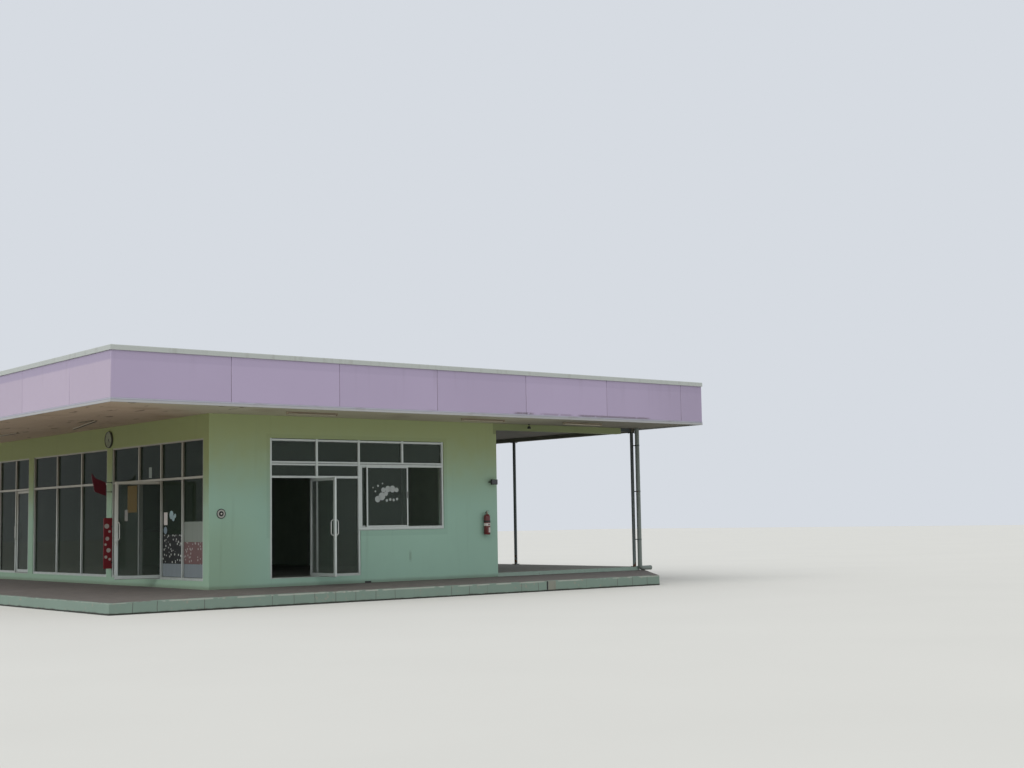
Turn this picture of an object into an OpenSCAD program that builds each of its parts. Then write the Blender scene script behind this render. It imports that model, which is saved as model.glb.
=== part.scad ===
// Filling station shop under one flat roof with a deep fascia, and an open covered bay at its right end.
// Millimetres. The sizes count from the outside front left corner of the shop walls at apron level:
// X runs right along the front wall, Y runs back along the side wall and Z is up.
// The finished model has its origin under the middle of the roof, at the lowest ground.

/* [Shop walls] */
// Outside width of the shop along its front
shop_w = 7387; // [7000:1:8200]
// Outside depth of the shop
shop_d = 14300; // [14200:1:16000]
// Thickness of the outside walls
wall_t = 200; // [150:1:230]
// Height of the heads of all storefronts and windows
head_h = 3080; // [2900:1:3200]
// Height of the curb that the storefronts stand on, and of the shop floor
curb_h = 165; // [120:1:220]
// How far the ground lies below the apron
ground_depth = 270; // [150:1:400]

/* [Roof] */
// Overhang of the roof beyond the side wall
overhang_left = 3034; // [2400:1:3600]
// Overhang of the roof in front of the shop
overhang_front = 2128; // [1700:1:2600]
// Overhang of the roof behind the shop
overhang_back = 1200; // [600:1:2000]
// Width of roof to the right of the shop, over the open bay
bay_roof_w = 4690; // [4300:1:5200]
// Height of the soffit boards' underside above the heads of the storefronts
soffit_above = 467; // [420:1:760]
// Thickness of the soffit boards
soffit_t = 18; // [9:1:24]
// Thickness of the roof slab
slab_t = 200; // [150:1:260]
// Height of the joint between fascia and cap above the soffit boards' underside
fascia_rise = 903; // [700:1:1200]
// Thickness of the fascia boards
fascia_t = 20; // [12:1:30]
// Height of the metal trim along the foot of the fascia
trim_h = 78; // [70:1:110]
// How far the trim hangs below the soffit
trim_drop = 32; // [10:1:45]
// How far the trim stands out from the fascia
trim_out = 8; // [4:1:15]
// Thickness of the parapet behind the fascia
parapet_t = 100; // [80:1:150]
// Height of the roof cap
cap_h = 96; // [60:1:140]
// How far the cap stands out on both sides
cap_out = 22; // [10:1:40]

/* [Apron] */
// Fall of the apron from the walls to its front edge
apron_fall = 43; // [20:1:60]
// Right end of the apron's front edge, from the roof's right edge
apron_corner_in = 1577; // [1000:1:2000]

/* [Front glazing] */
// Wall between the corner and the front glazing
front_pier_w = 1400; // [1200:1:1600]
// Door bay, from the jamb's outer face to the first mullion's middle
front_door_bay = 1141; // [1000:1:1250]
// Fixed bay beside the door, between mullion middles
front_fixed_bay = 1059; // [900:1:1250]
// Window bay, from its mullion's middle to the jamb's outer face
window_bay = 2262; // [1900:1:2500]
// Height of the window frame's underside
window_sill_h = 1139; // [900:1:1400]
// Underside of the broad rail above door and window
transom_h = 2520; // [2450:1:2600]
// Height of that broad rail
transom_rail_h = 80; // [60:1:110]
// Width of each sliding sash
sash_w = 1100; // [1000:1:1115]
// How far the outer sash stands open past the inner one
sash_shift = 122; // [80:1:300]

/* [Side storefronts] */
// Wall between the corner and the first storefront
side_corner_pier = 245; // [240:1:400]
// First light beside the corner, to its mullion's middle
side_light_1 = 978; // [700:1:1100]
// Second light, between mullion middles
side_light_2 = 1000; // [800:1:1150]
// Door bay of the first storefront, between mullion middles
side_door_bay = 1088; // [1000:1:1200]
// Last light, from its mullion's middle to the jamb's outer face
side_light_3 = 1374; // [1100:1:1550]
// Pier between the first and the second storefront
side_pier_1 = 265; // [240:1:500]
// Width of the second storefront
second_store_w = 4447; // [4000:1:4600]
// Pier between the second and the third storefront
side_pier_2 = 307; // [280:1:500]
// Door bay of the third storefront, from the jamb's outer face to the mullion's middle
store_door_bay = 926; // [790:1:1050]

/* [Frames and glass] */
// Face width of the aluminium bars
bar_w = 50; // [40:1:60]
// Depth of the aluminium frames
frame_d = 90; // [75:1:110]
// How far the frames are set back from the wall's face
frame_set = 15; // [5:1:30]
// Underside of the door head rail
door_head_h = 2250; // [2150:1:2350]
// Height of the door head rail
door_rail_h = 45; // [40:1:70]
// Thickness of the thresholds under the doors
threshold_t = 17; // [10:1:25]
// Thickness of the glass
glass_t = 6; // [5:1:10]
// Width of the sash bars
sash_bar = 38; // [30:1:50]
// Thickness of a sash
sash_t = 26; // [20:1:30]

/* [Doors] */
// Thickness of the door leaves
leaf_t = 42; // [40:1:45]
// Gap all round a door leaf
door_gap = 9; // [8:1:10]
// Pivot axis, from the face of the jamb
pivot_inset = 70; // [70:1:120]
// Width of the door stiles
stile_w = 66; // [60:1:90]
// Height of the top rail of a leaf
top_rail_h = 57; // [50:1:90]
// Height of the bottom rail of a leaf
bottom_rail_h = 65; // [60:1:150]
// Angle at which the front door stands open
front_door_angle = 88; // [0:1:90]
// Angle at which the side door stands open
side_door_angle = 77; // [0:1:90]
// Radius of the pull handles' tube
handle_r = 9; // [7:1:12]
// Reach of the pull handles from the leaf
handle_reach = 72; // [55:1:90]
// Middle of the pull handles, from the free edge of the leaf
handle_in = 46; // [25:1:50]
// Height of the middle of the pull handles
handle_h = 1200; // [1050:1:1350]
// Length of the front door's pull handles
front_handle_l = 340; // [250:1:450]
// Length of the side doors' pull handles
side_handle_l = 400; // [300:1:550]

/* [Open bay] */
// Thickness of the bay's floor above the apron
bay_floor_h = 85; // [50:1:120]
// Radius of the steel posts
post_r = 42; // [35:1:60]
// Middle of the posts, from the roof's right edge
post_in = 277; // [270:1:500]
// Middle of the end posts, from the wall's outer face
post_set = 70; // [60:1:90]
// Number of posts
post_count = 4; // [2:1:6]
// Right end of the concrete beams, from the roof's right edge
beam_end_in = 707; // [600:1:900]
// How far the concrete beams reach below the soffit boards' underside
beam_drop = 147; // [100:1:300]
// Depth and width of the steel edge beam
edge_beam = 100; // [80:1:110]
// Depth and width of the steel stubs that join it to the concrete beams
stub = 80; // [50:1:100]
// Radius of the rainwater pipe
pipe_r = 56; // [40:1:60]
// Middle of the pipe, from the roof's right edge
pipe_in = 221; // [200:1:240]
// How far the pipe's shoe reaches to the right of its middle
shoe_reach = 368; // [250:1:450]

/* [Fixtures] */
// Diameter of the wall clock
clock_d = 380; // [250:1:450]
// Height of the clock's middle above the window heads
clock_above = 184; // [180:1:260]
// Diameter of the round wall plate
plate_d = 200; // [120:1:250]
// Thickness of the round wall plate
plate_t = 24; // [10:1:40]
// Diameter of the fire extinguisher
extinguisher_d = 150; // [120:1:170]
// Height of its cylinder without the valve
extinguisher_l = 470; // [350:1:520]
// Underside of the fire extinguisher
extinguisher_h = 974; // [800:1:1200]
// Middle of the fire extinguisher, from the right end of the front wall
extinguisher_in = 377; // [250:1:600]
// Middle of the floodlight, from the right end of the front wall
floodlight_in = 160; // [95:1:400]
// Middle of the hanging lamp, from the right end of the front wall
lamp_out = 883; // [500:1:2000]
// Length of the batten lights
light_l = 1200; // [900:1:1300]
// Width of the batten lights
light_w = 90; // [60:1:120]
// Depth of the batten lights
light_d = 55; // [40:1:80]

/* [Hidden] */
$fn = 48;

// Levels of the roof, which follow the heads of the storefronts
soffit_h = head_h + soffit_above;
fascia_top = soffit_h + fascia_rise;
beam_h = soffit_h - beam_drop;

// Outline of the roof in plan
roof_x0 = -overhang_left;
roof_x1 = shop_w + bay_roof_w;
roof_y0 = -overhang_front;
roof_y1 = shop_d + overhang_back;
slab_z = soffit_h + soffit_t;
slab_top = slab_z + slab_t;
trim_z = soffit_h - trim_drop;
trim_top = trim_z + trim_h;

// Inside faces of the shop walls
in_x = shop_w - wall_t;
in_y = shop_d - wall_t;

// Front glazing, as places along the front wall
front_jamb = front_pier_w;
front_mullion = front_jamb + front_door_bay;
window_mullion = front_mullion + front_fixed_bay;
front_end = window_mullion + window_bay;
window_left = window_mullion + bar_w / 2;
window_right = front_end - bar_w;
sash_left = window_left + bar_w;
window_middle = (sash_left + window_right) / 2;
sash_z0 = window_sill_h + bar_w;

// Storefronts, as places along the side wall
store_1 = side_corner_pier;
mullion_1 = store_1 + side_light_1;
mullion_2 = mullion_1 + side_light_2;
mullion_3 = mullion_2 + side_door_bay;
store_1_end = mullion_3 + side_light_3;
store_2 = store_1_end + side_pier_1;
store_2_end = store_2 + second_store_w;
store_2_light = round(second_store_w / 3);
store_3 = store_2_end + side_pier_2;
store_3_end = shop_d - side_corner_pier;
mullion_4 = store_3 + store_door_bay;
store_3_light = round((store_3_end - mullion_4) / 3);

// Frames, from the outside face of a wall inwards
frame_v0 = frame_set;
frame_v1 = frame_set + frame_d;
frame_mid = frame_set + frame_d / 2;
sill_top = curb_h + threshold_t;
light_bottom = curb_h + bar_w;
upper_z0 = door_head_h + door_rail_h;
upper_z1 = head_h - bar_w;
leaf_z0 = sill_top + door_gap;
leaf_z1 = door_head_h - door_gap;

// Door bays: clear opening between the bars, pivot place and the hand of the leaf
front_door_left = front_jamb + bar_w;
front_door_right = front_mullion - bar_w / 2;
front_door_clear = front_door_right - front_door_left;
front_pivot = front_door_right - pivot_inset;
side_door_near = mullion_2 + bar_w / 2;
side_door_clear = side_door_bay - bar_w;
side_pivot = side_door_near + pivot_inset;
store_door_near = store_3 + bar_w;
store_door_clear = mullion_4 - bar_w / 2 - store_door_near;
store_pivot = store_door_near + pivot_inset;
pivot_pin_r = 10;
seat_gap = 0.3;

// Open bay
apron_x1 = roof_x1 - apron_corner_in;
bay_floor_x1 = roof_x1 - post_in + 2.5 * post_r;
post_x = roof_x1 - post_in;
post_pitch = (shop_d - 2 * post_set) / (post_count - 1);
edge_beam_z = soffit_h - edge_beam;
beam_x1 = roof_x1 - beam_end_in;
pipe_x = roof_x1 - pipe_in;
pipe_y = -post_set;
pipe_bend = 80;

// Fixtures: the clock stands on the middle of its pier
clock_share = 0.5;
clock_y = store_1_end + side_pier_1 * clock_share;
clock_t = 48;
plate_x = 272;
plate_h = 1517;
extinguisher_x = shop_w - extinguisher_in;
bracket_t = 18;
bracket_w = 60;
floodlight_x = shop_w - floodlight_in;
floodlight_h = 2180;
floodlight_w = 180;
floodlight_body_h = 120;
floodlight_body_t = 60;
floodlight_arm = 70;
lamp_x = shop_w + lamp_out;
lamp_y = -150;
front_lights_y = -1100;
front_lights_x = [1150, 5560, 8510];
side_lights_x = -1200;
side_lights_y = [2780, 7300];

// Colours
mint = "#9ed2b4";
mint_dark = "#86c4a4";
lilac = "#bda9c4";
metal_trim = "#cfcfd2";
silver = "#c9cdcf";
glass_tint = [0.35, 0.42, 0.42, 0.5];
concrete = "#9c9488";
soffit_tan = "#a08f7c";
steel_blue = "#5b6b70";

module placed() {
    translate([-(roof_x0 + roof_x1) / 2, -(roof_y0 + roof_y1) / 2, ground_depth]) children();
}

// Turns a storefront drawn along X, with Y inwards, onto the side wall
module on_side_wall() {
    mirror([1, -1, 0]) children();
}

// A block between two places along X, Y and Z
module block(x, y, z) {
    translate([x[0], y[0], z[0]]) cube([x[1] - x[0], y[1] - y[0], z[1] - z[0]]);
}

// A rectangular ring with its four outer limits, its thickness inwards, and its height
module ring(x, y, z, t) {
    translate([0, 0, z[0]]) linear_extrude(z[1] - z[0]) difference() {
        translate([x[0], y[0]]) square([x[1] - x[0], y[1] - y[0]]);
        translate([x[0] + t, y[0] + t]) square([x[1] - x[0] - 2 * t, y[1] - y[0] - 2 * t]);
    }
}

// Apron and floors

// Front profile of the apron, seen along X: it falls towards its edge
module falling_front() {
    rotate([90, 0, 90]) translate([0, 0, roof_x0]) linear_extrude(roof_x1 - roof_x0)
        polygon([[roof_y0, -ground_depth], [0, -ground_depth], [0, 0], [roof_y0, -apron_fall]]);
}

// The same fall towards the left edge, over the whole width in front of the shop
module falling_left(y0, y1, x1) {
    side_fall = apron_fall * overhang_left / overhang_front;
    translate([0, y1, 0]) rotate([90, 0, 0]) linear_extrude(y1 - y0)
        polygon([
            [roof_x0, -ground_depth], [x1, -ground_depth], [x1, 0], [0, 0], [roof_x0, -side_fall]
        ]);
}

module platform_front() {
    color(mint_dark) placed() intersection() {
        falling_front();
        falling_left(roof_y0, 0, roof_x1);
        translate([0, 0, -ground_depth]) linear_extrude(ground_depth + 1)
            polygon([[roof_x0, roof_y0], [apron_x1, roof_y0], [roof_x1, 0], [roof_x0, 0]]);
    }
}

module platform_sides() {
    color(mint_dark) placed() {
        falling_left(0, shop_d, 0);
        block([bay_floor_x1, roof_x1], [0, shop_d], [-ground_depth, 0]);
    }
}

module shop_floor() {
    color(concrete) placed() block([wall_t, in_x], [wall_t, in_y], [-ground_depth, curb_h]);
}

module bay_floor() {
    color(concrete) placed() block([shop_w, bay_floor_x1], [0, shop_d], [-ground_depth, bay_floor_h]);
}

// Walls

// A stretch of front wall from the ground to the roof slab
module full_wall(x) {
    block(x, [0, wall_t], [-ground_depth, slab_z]);
}

module front_wall_left() {
    color(mint) placed() full_wall([0, front_jamb]);
}

module front_wall_right() {
    color(mint) placed() full_wall([front_end, shop_w]);
}

module wall_below_window() {
    color(mint) placed() block([window_left, front_end], [0, wall_t], [-ground_depth, window_sill_h]);
}

module wall_lintels() {
    color(mint) placed() {
        block([front_jamb, front_end], [0, wall_t], [head_h, slab_z]);
        on_side_wall() for (x = [[store_1, store_1_end], [store_2, store_2_end], [store_3, store_3_end]])
            block(x, [0, wall_t], [head_h, slab_z]);
    }
}

module wall_curbs() {
    color(mint) placed() {
        block([front_jamb, window_left], [0, wall_t], [-ground_depth, curb_h]);
        on_side_wall() for (x = [[store_1, store_1_end], [store_2, store_2_end], [store_3, store_3_end]])
            block(x, [0, wall_t], [-ground_depth, curb_h]);
    }
}

module side_wall_piers() {
    color(mint) placed() on_side_wall() {
        full_wall([wall_t, store_1]);
        full_wall([store_1_end, store_2]);
        full_wall([store_2_end, store_3]);
        full_wall([store_3_end, in_y]);
    }
}

module right_wall() {
    color(mint) placed() block([in_x, shop_w], [wall_t, in_y], [-ground_depth, slab_z]);
}

module back_wall_sides() {
    color(mint) placed() for (x = [[0, window_mullion], [front_end, shop_w]])
        block(x, [in_y, shop_d], [-ground_depth, slab_z]);
}

module back_wall_bands() {
    color(mint) placed() for (z = [[-ground_depth, window_sill_h], [head_h, slab_z]])
        block([window_mullion, front_end], [in_y, shop_d], z);
}

// Frames and glass, drawn along X with Y inwards

// An upright bar of a frame, from its left face
module upright(x, z0, z1) {
    block([x, x + bar_w], [frame_v0, frame_v1], [z0, z1]);
}

// A bar across a bay
module rail(x, z0, z1) {
    block(x, [frame_v0, frame_v1], [z0, z1]);
}

// A pane that fills a bay
module pane(x, z0, z1) {
    block(x, [frame_mid - glass_t / 2, frame_mid + glass_t / 2], [z0, z1]);
}

// Clear bays between the middles of the uprights, whose outer two stand inside the frame's limits
function bays(limits, middles) = let (
    lefts = concat([limits[0] + bar_w], [for (m = middles) m + bar_w / 2]),
    rights = concat([for (m = middles) m - bar_w / 2], [limits[1] - bar_w])
) [for (i = [0 : len(lefts) - 1]) [lefts[i], rights[i]]];

front_bays = bays([front_jamb, front_end], [front_mullion, window_mullion]);
front_upper_bays = bays([front_jamb, front_end], [front_mullion, window_mullion, window_middle]);
store_1_bays = bays([store_1, store_1_end], [mullion_1, mullion_2, mullion_3]);
store_2_bays = bays([store_2, store_2_end], [store_2 + store_2_light, store_2 + 2 * store_2_light]);
store_3_bays = bays(
    [store_3, store_3_end], [mullion_4, mullion_4 + store_3_light, mullion_4 + 2 * store_3_light]
);
side_bays = concat(store_1_bays, store_2_bays, store_3_bays);
side_door_bays = [store_1_bays[2], store_3_bays[0]];
transom_top = transom_h + transom_rail_h;

module front_frame_uprights() {
    color(silver) placed() {
        upright(front_jamb, curb_h, head_h);
        upright(front_mullion - bar_w / 2, curb_h, head_h);
        upright(window_mullion - bar_w / 2, curb_h, head_h);
        upright(window_left, sash_z0, transom_h);
        upright(window_middle - bar_w / 2, transom_top, head_h);
        upright(window_right, window_sill_h, head_h);
    }
}

module front_frame_rails() {
    color(silver) placed() {
        for (b = front_upper_bays) rail(b, upper_z1, head_h);
        for (b = front_bays) rail(b, transom_h, transom_top);
        for (b = [front_bays[0], front_bays[1]]) rail(b, door_head_h, upper_z0);
        rail(front_bays[0], curb_h, sill_top);
        rail(front_bays[1], curb_h, light_bottom);
        rail(front_bays[2], window_sill_h, sash_z0);
    }
}

module side_frame_uprights() {
    color(silver) placed() on_side_wall() {
        for (b = side_bays) upright(b[1], curb_h, head_h);
        for (x = [store_1, store_2, store_3]) upright(x, curb_h, head_h);
    }
}

module side_frame_rails() {
    color(silver) placed() on_side_wall() for (b = side_bays) {
        rail(b, upper_z1, head_h);
        rail(b, door_head_h, upper_z0);
        rail(b, curb_h, is_door_bay(b) ? sill_top : light_bottom);
    }
}

function is_door_bay(b) = len([for (d = side_door_bays) if (d == b) d]) > 0;

// Frame of the back window, which repeats the front one without its small lights
module back_window_frame() {
    bay = bays([window_mullion, front_end], [window_middle]);
    color(silver) placed() translate([0, shop_d, 0]) mirror([0, 1, 0]) difference() {
        rail([window_mullion, front_end], window_sill_h, head_h);
        for (b = bay) block(b, [0, wall_t], [sash_z0, upper_z1]);
    }
}

module front_glass() {
    color(glass_tint) placed() {
        for (b = front_upper_bays) pane(b, transom_top, upper_z1);
        for (b = [front_bays[0], front_bays[1]]) pane(b, upper_z0, transom_h);
        pane(front_bays[1], light_bottom, door_head_h);
        sash_places() block(
            [sash_bar, sash_w - sash_bar],
            [sash_t / 2 - glass_t / 2, sash_t / 2 + glass_t / 2],
            [sash_z0 + sash_bar, transom_h - sash_bar]
        );
    }
}

module side_glass() {
    color(glass_tint) placed() on_side_wall() for (b = side_bays) {
        pane(b, upper_z0, upper_z1);
        if (!is_door_bay(b)) pane(b, light_bottom, door_head_h);
    }
}

module back_glass() {
    bay = bays([window_mullion, front_end], [window_middle]);
    color(glass_tint) placed() translate([0, shop_d, 0]) mirror([0, 1, 0])
        for (b = bay) pane(b, sash_z0, upper_z1);
}

// Both sliding sashes stand at the left, so the right half of the window is open
module sash_places() {
    sash_step = frame_d / 2;
    translate([sash_left + sash_shift, frame_v0 + (sash_step - sash_t) / 2, 0]) children();
    translate([sash_left, frame_v0 + sash_step + (sash_step - sash_t) / 2, 0]) children();
}

module window_sashes() {
    color(silver) placed() sash_places() difference() {
        block([0, sash_w], [0, sash_t], [sash_z0, transom_h]);
        block([sash_bar, sash_w - sash_bar], [-1, sash_t + 1], [sash_z0 + sash_bar, transom_h - sash_bar]);
    }
}

// Doors: each leaf turns on a floor pivot and a top pivot, and is drawn from its pivot axis

// Puts a leaf at its pivot. Hand 1 runs to the right when closed and -1 to the left. It opens outwards.
module hung(pivot, hand, angle) {
    translate([pivot, frame_mid, 0]) mirror([(1 - hand) / 2, 0, 0]) rotate([0, 0, -angle]) children();
}

function heel() = pivot_inset - door_gap;
function reach(clear) = clear - pivot_inset - door_gap;

module leaf(clear) {
    difference() {
        block([-heel(), reach(clear)], [-leaf_t / 2, leaf_t / 2], [leaf_z0, leaf_z1]);
        leaf_hole(clear, leaf_t + 2);
    }
}

// The glazed part of a leaf
module leaf_hole(clear, t) {
    block(
        [stile_w - heel(), reach(clear) - stile_w], [-t / 2, t / 2],
        [leaf_z0 + bottom_rail_h, leaf_z1 - top_rail_h]
    );
}

// Pivot pins and two pull handles
module fittings(clear, handle_l) {
    translate([0, 0, sill_top + seat_gap]) cylinder(r = pivot_pin_r, h = door_gap - seat_gap);
    translate([0, 0, leaf_z1]) cylinder(r = pivot_pin_r, h = door_gap - seat_gap);
    for (side = [0, 1]) translate([reach(clear) - handle_in, 0, handle_h])
        mirror([0, side, 0]) translate([0, leaf_t / 2, 0]) pull_handle(handle_l);
}

// A round tube that leaves the leaf along Y, runs up it in a bow and returns
module pull_handle(l) {
    bend = handle_reach - 2 * handle_r;
    leg = handle_reach - handle_r - bend;
    for (top = [0, 1]) mirror([0, 0, top]) translate([0, 0, -l / 2 + handle_r]) {
        rotate([-90, 0, 0]) cylinder(r = handle_r, h = leg);
        translate([0, leg, bend]) rotate([90, 0, 90]) rotate([0, 0, -90])
            rotate_extrude(angle = 90) translate([bend, 0]) circle(r = handle_r);
    }
    translate([0, handle_reach - handle_r, -l / 2 + handle_r + bend])
        cylinder(r = handle_r, h = l - 2 * handle_r - 2 * bend);
}

module front_door_leaf() {
    color(silver) placed() hung(front_pivot, -1, front_door_angle) leaf(front_door_clear);
}

module front_door_glass() {
    color(glass_tint) placed() hung(front_pivot, -1, front_door_angle) leaf_hole(front_door_clear, glass_t);
}

module front_door_fittings() {
    color(silver) placed() hung(front_pivot, -1, front_door_angle)
        fittings(front_door_clear, front_handle_l);
}

module side_door_leaf() {
    color(silver) placed() on_side_wall() hung(side_pivot, 1, side_door_angle) leaf(side_door_clear);
}

module side_door_glass() {
    color(glass_tint) placed() on_side_wall() hung(side_pivot, 1, side_door_angle)
        leaf_hole(side_door_clear, glass_t);
}

module side_door_fittings() {
    color(silver) placed() on_side_wall() hung(side_pivot, 1, side_door_angle)
        fittings(side_door_clear, side_handle_l);
}

module store_door_leaf() {
    color(silver) placed() on_side_wall() hung(store_pivot, 1, 0) leaf(store_door_clear);
}

module store_door_glass() {
    color(glass_tint) placed() on_side_wall() hung(store_pivot, 1, 0) leaf_hole(store_door_clear, glass_t);
}

module store_door_fittings() {
    color(silver) placed() on_side_wall() hung(store_pivot, 1, 0)
        fittings(store_door_clear, side_handle_l);
}

// Roof

module roof_slab() {
    color(concrete) placed() block(
        [roof_x0 + fascia_t, roof_x1 - fascia_t], [roof_y0 + fascia_t, roof_y1 - fascia_t],
        [slab_z, slab_top]
    );
}

module parapet() {
    color(concrete) placed() ring(
        [roof_x0 + fascia_t, roof_x1 - fascia_t], [roof_y0 + fascia_t, roof_y1 - fascia_t],
        [slab_top, fascia_top], parapet_t
    );
}

module roof_cap() {
    color(metal_trim) placed() ring(
        [roof_x0 - cap_out, roof_x1 + cap_out], [roof_y0 - cap_out, roof_y1 + cap_out],
        [fascia_top, fascia_top + cap_h], fascia_t + parapet_t + 2 * cap_out
    );
}

module fascia_front_back() {
    color(lilac) placed() for (y = [roof_y0, roof_y1 - fascia_t])
        block([roof_x0, roof_x1], [y, y + fascia_t], [trim_top, fascia_top]);
}

module fascia_sides() {
    color(lilac) placed() for (x = [roof_x0, roof_x1 - fascia_t])
        block([x, x + fascia_t], [roof_y0 + fascia_t, roof_y1 - fascia_t], [trim_top, fascia_top]);
}

// Metal trim along the foot of the fascia, in front of the edges of the soffit boards
trim_t = fascia_t + trim_out;

module trim_front_back() {
    color(metal_trim) placed() for (y = [roof_y0 - trim_out, roof_y1 - fascia_t])
        block([roof_x0 - trim_out, roof_x1 + trim_out], [y, y + trim_t], [trim_z, trim_top]);
}

module trim_sides() {
    color(metal_trim) placed() for (x = [roof_x0 - trim_out, roof_x1 - fascia_t])
        block([x, x + trim_t], [roof_y0 + fascia_t, roof_y1 - fascia_t], [trim_z, trim_top]);
}

// One end of the soffit, drawn at the front, with a notch for the concrete beam
module soffit_end(overhang) {
    edge = fascia_t - overhang;
    translate([0, 0, soffit_h]) linear_extrude(soffit_t) polygon([
        [roof_x0 + fascia_t, edge], [roof_x1 - fascia_t, edge], [roof_x1 - fascia_t, wall_t],
        [beam_x1, wall_t], [beam_x1, 0], [roof_x0 + fascia_t, 0]
    ]);
}

module soffit_front_back() {
    color(soffit_tan) placed() {
        soffit_end(overhang_front);
        translate([0, shop_d, 0]) mirror([0, 1, 0]) soffit_end(overhang_back);
    }
}

module soffit_left() {
    color(soffit_tan) placed() block([roof_x0 + fascia_t, 0], [0, shop_d], [soffit_h, slab_z]);
}

module soffit_bay() {
    color(soffit_tan) placed() block([shop_w, roof_x1 - fascia_t], [wall_t, in_y], [soffit_h, slab_z]);
}

// Open bay

module bay_beams() {
    color(mint) placed() for (y = [0, in_y])
        block([shop_w, beam_x1], [y, y + wall_t], [beam_h, slab_z]);
}

// Short steel members from the ends of the concrete beams to the edge beam
module bay_beam_stubs() {
    color(steel_blue) placed() for (y = [post_set, shop_d - post_set])
        block([beam_x1, post_x - edge_beam / 2], [y - stub / 2, y + stub / 2], [soffit_h - stub, soffit_h]);
}

module bay_edge_beam() {
    color(steel_blue) placed() block(
        [post_x - edge_beam / 2, post_x + edge_beam / 2], [0, shop_d], [edge_beam_z, soffit_h]
    );
}

module bay_posts() {
    color(steel_blue) placed() for (i = [0 : post_count - 1])
        translate([post_x, post_set + i * post_pitch, bay_floor_h])
            cylinder(r = post_r, h = edge_beam_z - bay_floor_h);
}

// Rainwater pipe that turns right at its foot and lies on the apron
module rainwater_pipe() {
    color(steel_blue) placed() translate([pipe_x, pipe_y, 0]) {
        translate([0, 0, pipe_r + pipe_bend]) cylinder(r = pipe_r, h = soffit_h - pipe_r - pipe_bend);
        translate([pipe_bend, 0, pipe_r + pipe_bend]) rotate([90, 0, 0]) rotate([0, 0, 180])
            rotate_extrude(angle = 90) translate([pipe_bend, 0]) circle(r = pipe_r);
        translate([pipe_bend, 0, pipe_r]) rotate([0, 90, 0])
            cylinder(r = pipe_r, h = shoe_reach - pipe_bend);
    }
}

// Fixtures

module wall_clock() {
    color("dimgray") placed() translate([-clock_t, clock_y, head_h + clock_above]) rotate([0, 90, 0])
        cylinder(d = clock_d, h = clock_t);
}

module wall_plate() {
    color("gray") placed() translate([plate_x, 0, plate_h]) rotate([90, 0, 0])
        cylinder(d = plate_d, h = plate_t);
}

// Fire extinguisher with its valve, hung on a wall bracket
module fire_extinguisher() {
    r = extinguisher_d / 2;
    neck_r = 18;
    neck_h = 40;
    valve_w = 34;
    valve_l = 110;
    valve_h = 45;
    bracket_z = extinguisher_h + 282;
    bracket_h = 47;
    color("firebrick") placed() {
        translate([extinguisher_x, -bracket_t - r, extinguisher_h]) {
            cylinder(r = r, h = extinguisher_l - r / 2);
            translate([0, 0, extinguisher_l - r / 2]) cylinder(r1 = r, r2 = neck_r, h = r / 2);
            translate([0, 0, extinguisher_l]) cylinder(r = neck_r, h = neck_h);
            translate([-valve_l / 2, -valve_w / 2, extinguisher_l + neck_h])
                cube([valve_l, valve_w, valve_h]);
        }
        block(
            [extinguisher_x - bracket_w / 2, extinguisher_x + bracket_w / 2],
            [-bracket_t - r / 2, 0],
            [bracket_z, bracket_z + bracket_h]
        );
    }
}

module floodlight() {
    color("dimgray") placed() translate([floodlight_x, 0, floodlight_h]) {
        translate([-floodlight_w / 2, -floodlight_arm - floodlight_body_t, -floodlight_body_h / 2])
            cube([floodlight_w, floodlight_body_t, floodlight_body_h]);
        translate([-bracket_w / 2, -floodlight_arm, -bracket_w / 2])
            cube([bracket_w, floodlight_arm, bracket_w]);
    }
}

module soffit_lights() {
    z = [soffit_h - light_d, soffit_h];
    color("gainsboro") placed() {
        for (x = front_lights_x)
            block([x, x + light_l], [front_lights_y - light_w / 2, front_lights_y + light_w / 2], z);
        for (y = side_lights_y)
            block([side_lights_x - light_w / 2, side_lights_x + light_w / 2], [y, y + light_l], z);
    }
}

// Small lamp on a short rod under the soffit
module hanging_lamp() {
    rod_r = 8;
    rod_l = 45;
    shade_r = 45;
    shade_h = 60;
    color("dimgray") placed() translate([lamp_x, lamp_y, soffit_h]) {
        translate([0, 0, -rod_l]) cylinder(r = rod_r, h = rod_l);
        translate([0, 0, -rod_l - shade_h]) cylinder(r = shade_r, h = shade_h);
    }
}

platform_front();
platform_sides();
shop_floor();
bay_floor();
front_wall_left();
front_wall_right();
wall_below_window();
wall_lintels();
wall_curbs();
side_wall_piers();
right_wall();
back_wall_sides();
back_wall_bands();
front_frame_uprights();
front_frame_rails();
side_frame_uprights();
side_frame_rails();
back_window_frame();
front_glass();
side_glass();
back_glass();
window_sashes();
front_door_leaf();
front_door_glass();
front_door_fittings();
side_door_leaf();
side_door_glass();
side_door_fittings();
store_door_leaf();
store_door_glass();
store_door_fittings();
roof_slab();
parapet();
roof_cap();
fascia_front_back();
fascia_sides();
trim_front_back();
trim_sides();
soffit_front_back();
soffit_left();
soffit_bay();
bay_beams();
bay_beam_stubs();
bay_edge_beam();
bay_posts();
rainwater_pipe();
wall_clock();
wall_plate();
fire_extinguisher();
floodlight();
soffit_lights();
hanging_lamp();
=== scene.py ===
"""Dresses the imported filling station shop: one flat roof with a deep fascia over a shop and an open bay.

Sizes are metres in the frame of the shop walls: X runs right along the front wall, Y runs back along
the side wall and Z counts up from the apron, from the front left corner of the walls. Shape.build moves
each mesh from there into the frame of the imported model.
"""

import logging
import math
import random
from collections.abc import Callable, Sequence
from dataclasses import dataclass
from enum import Enum
from functools import cache

import bpy
from mathutils import Matrix, Vector


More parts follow.
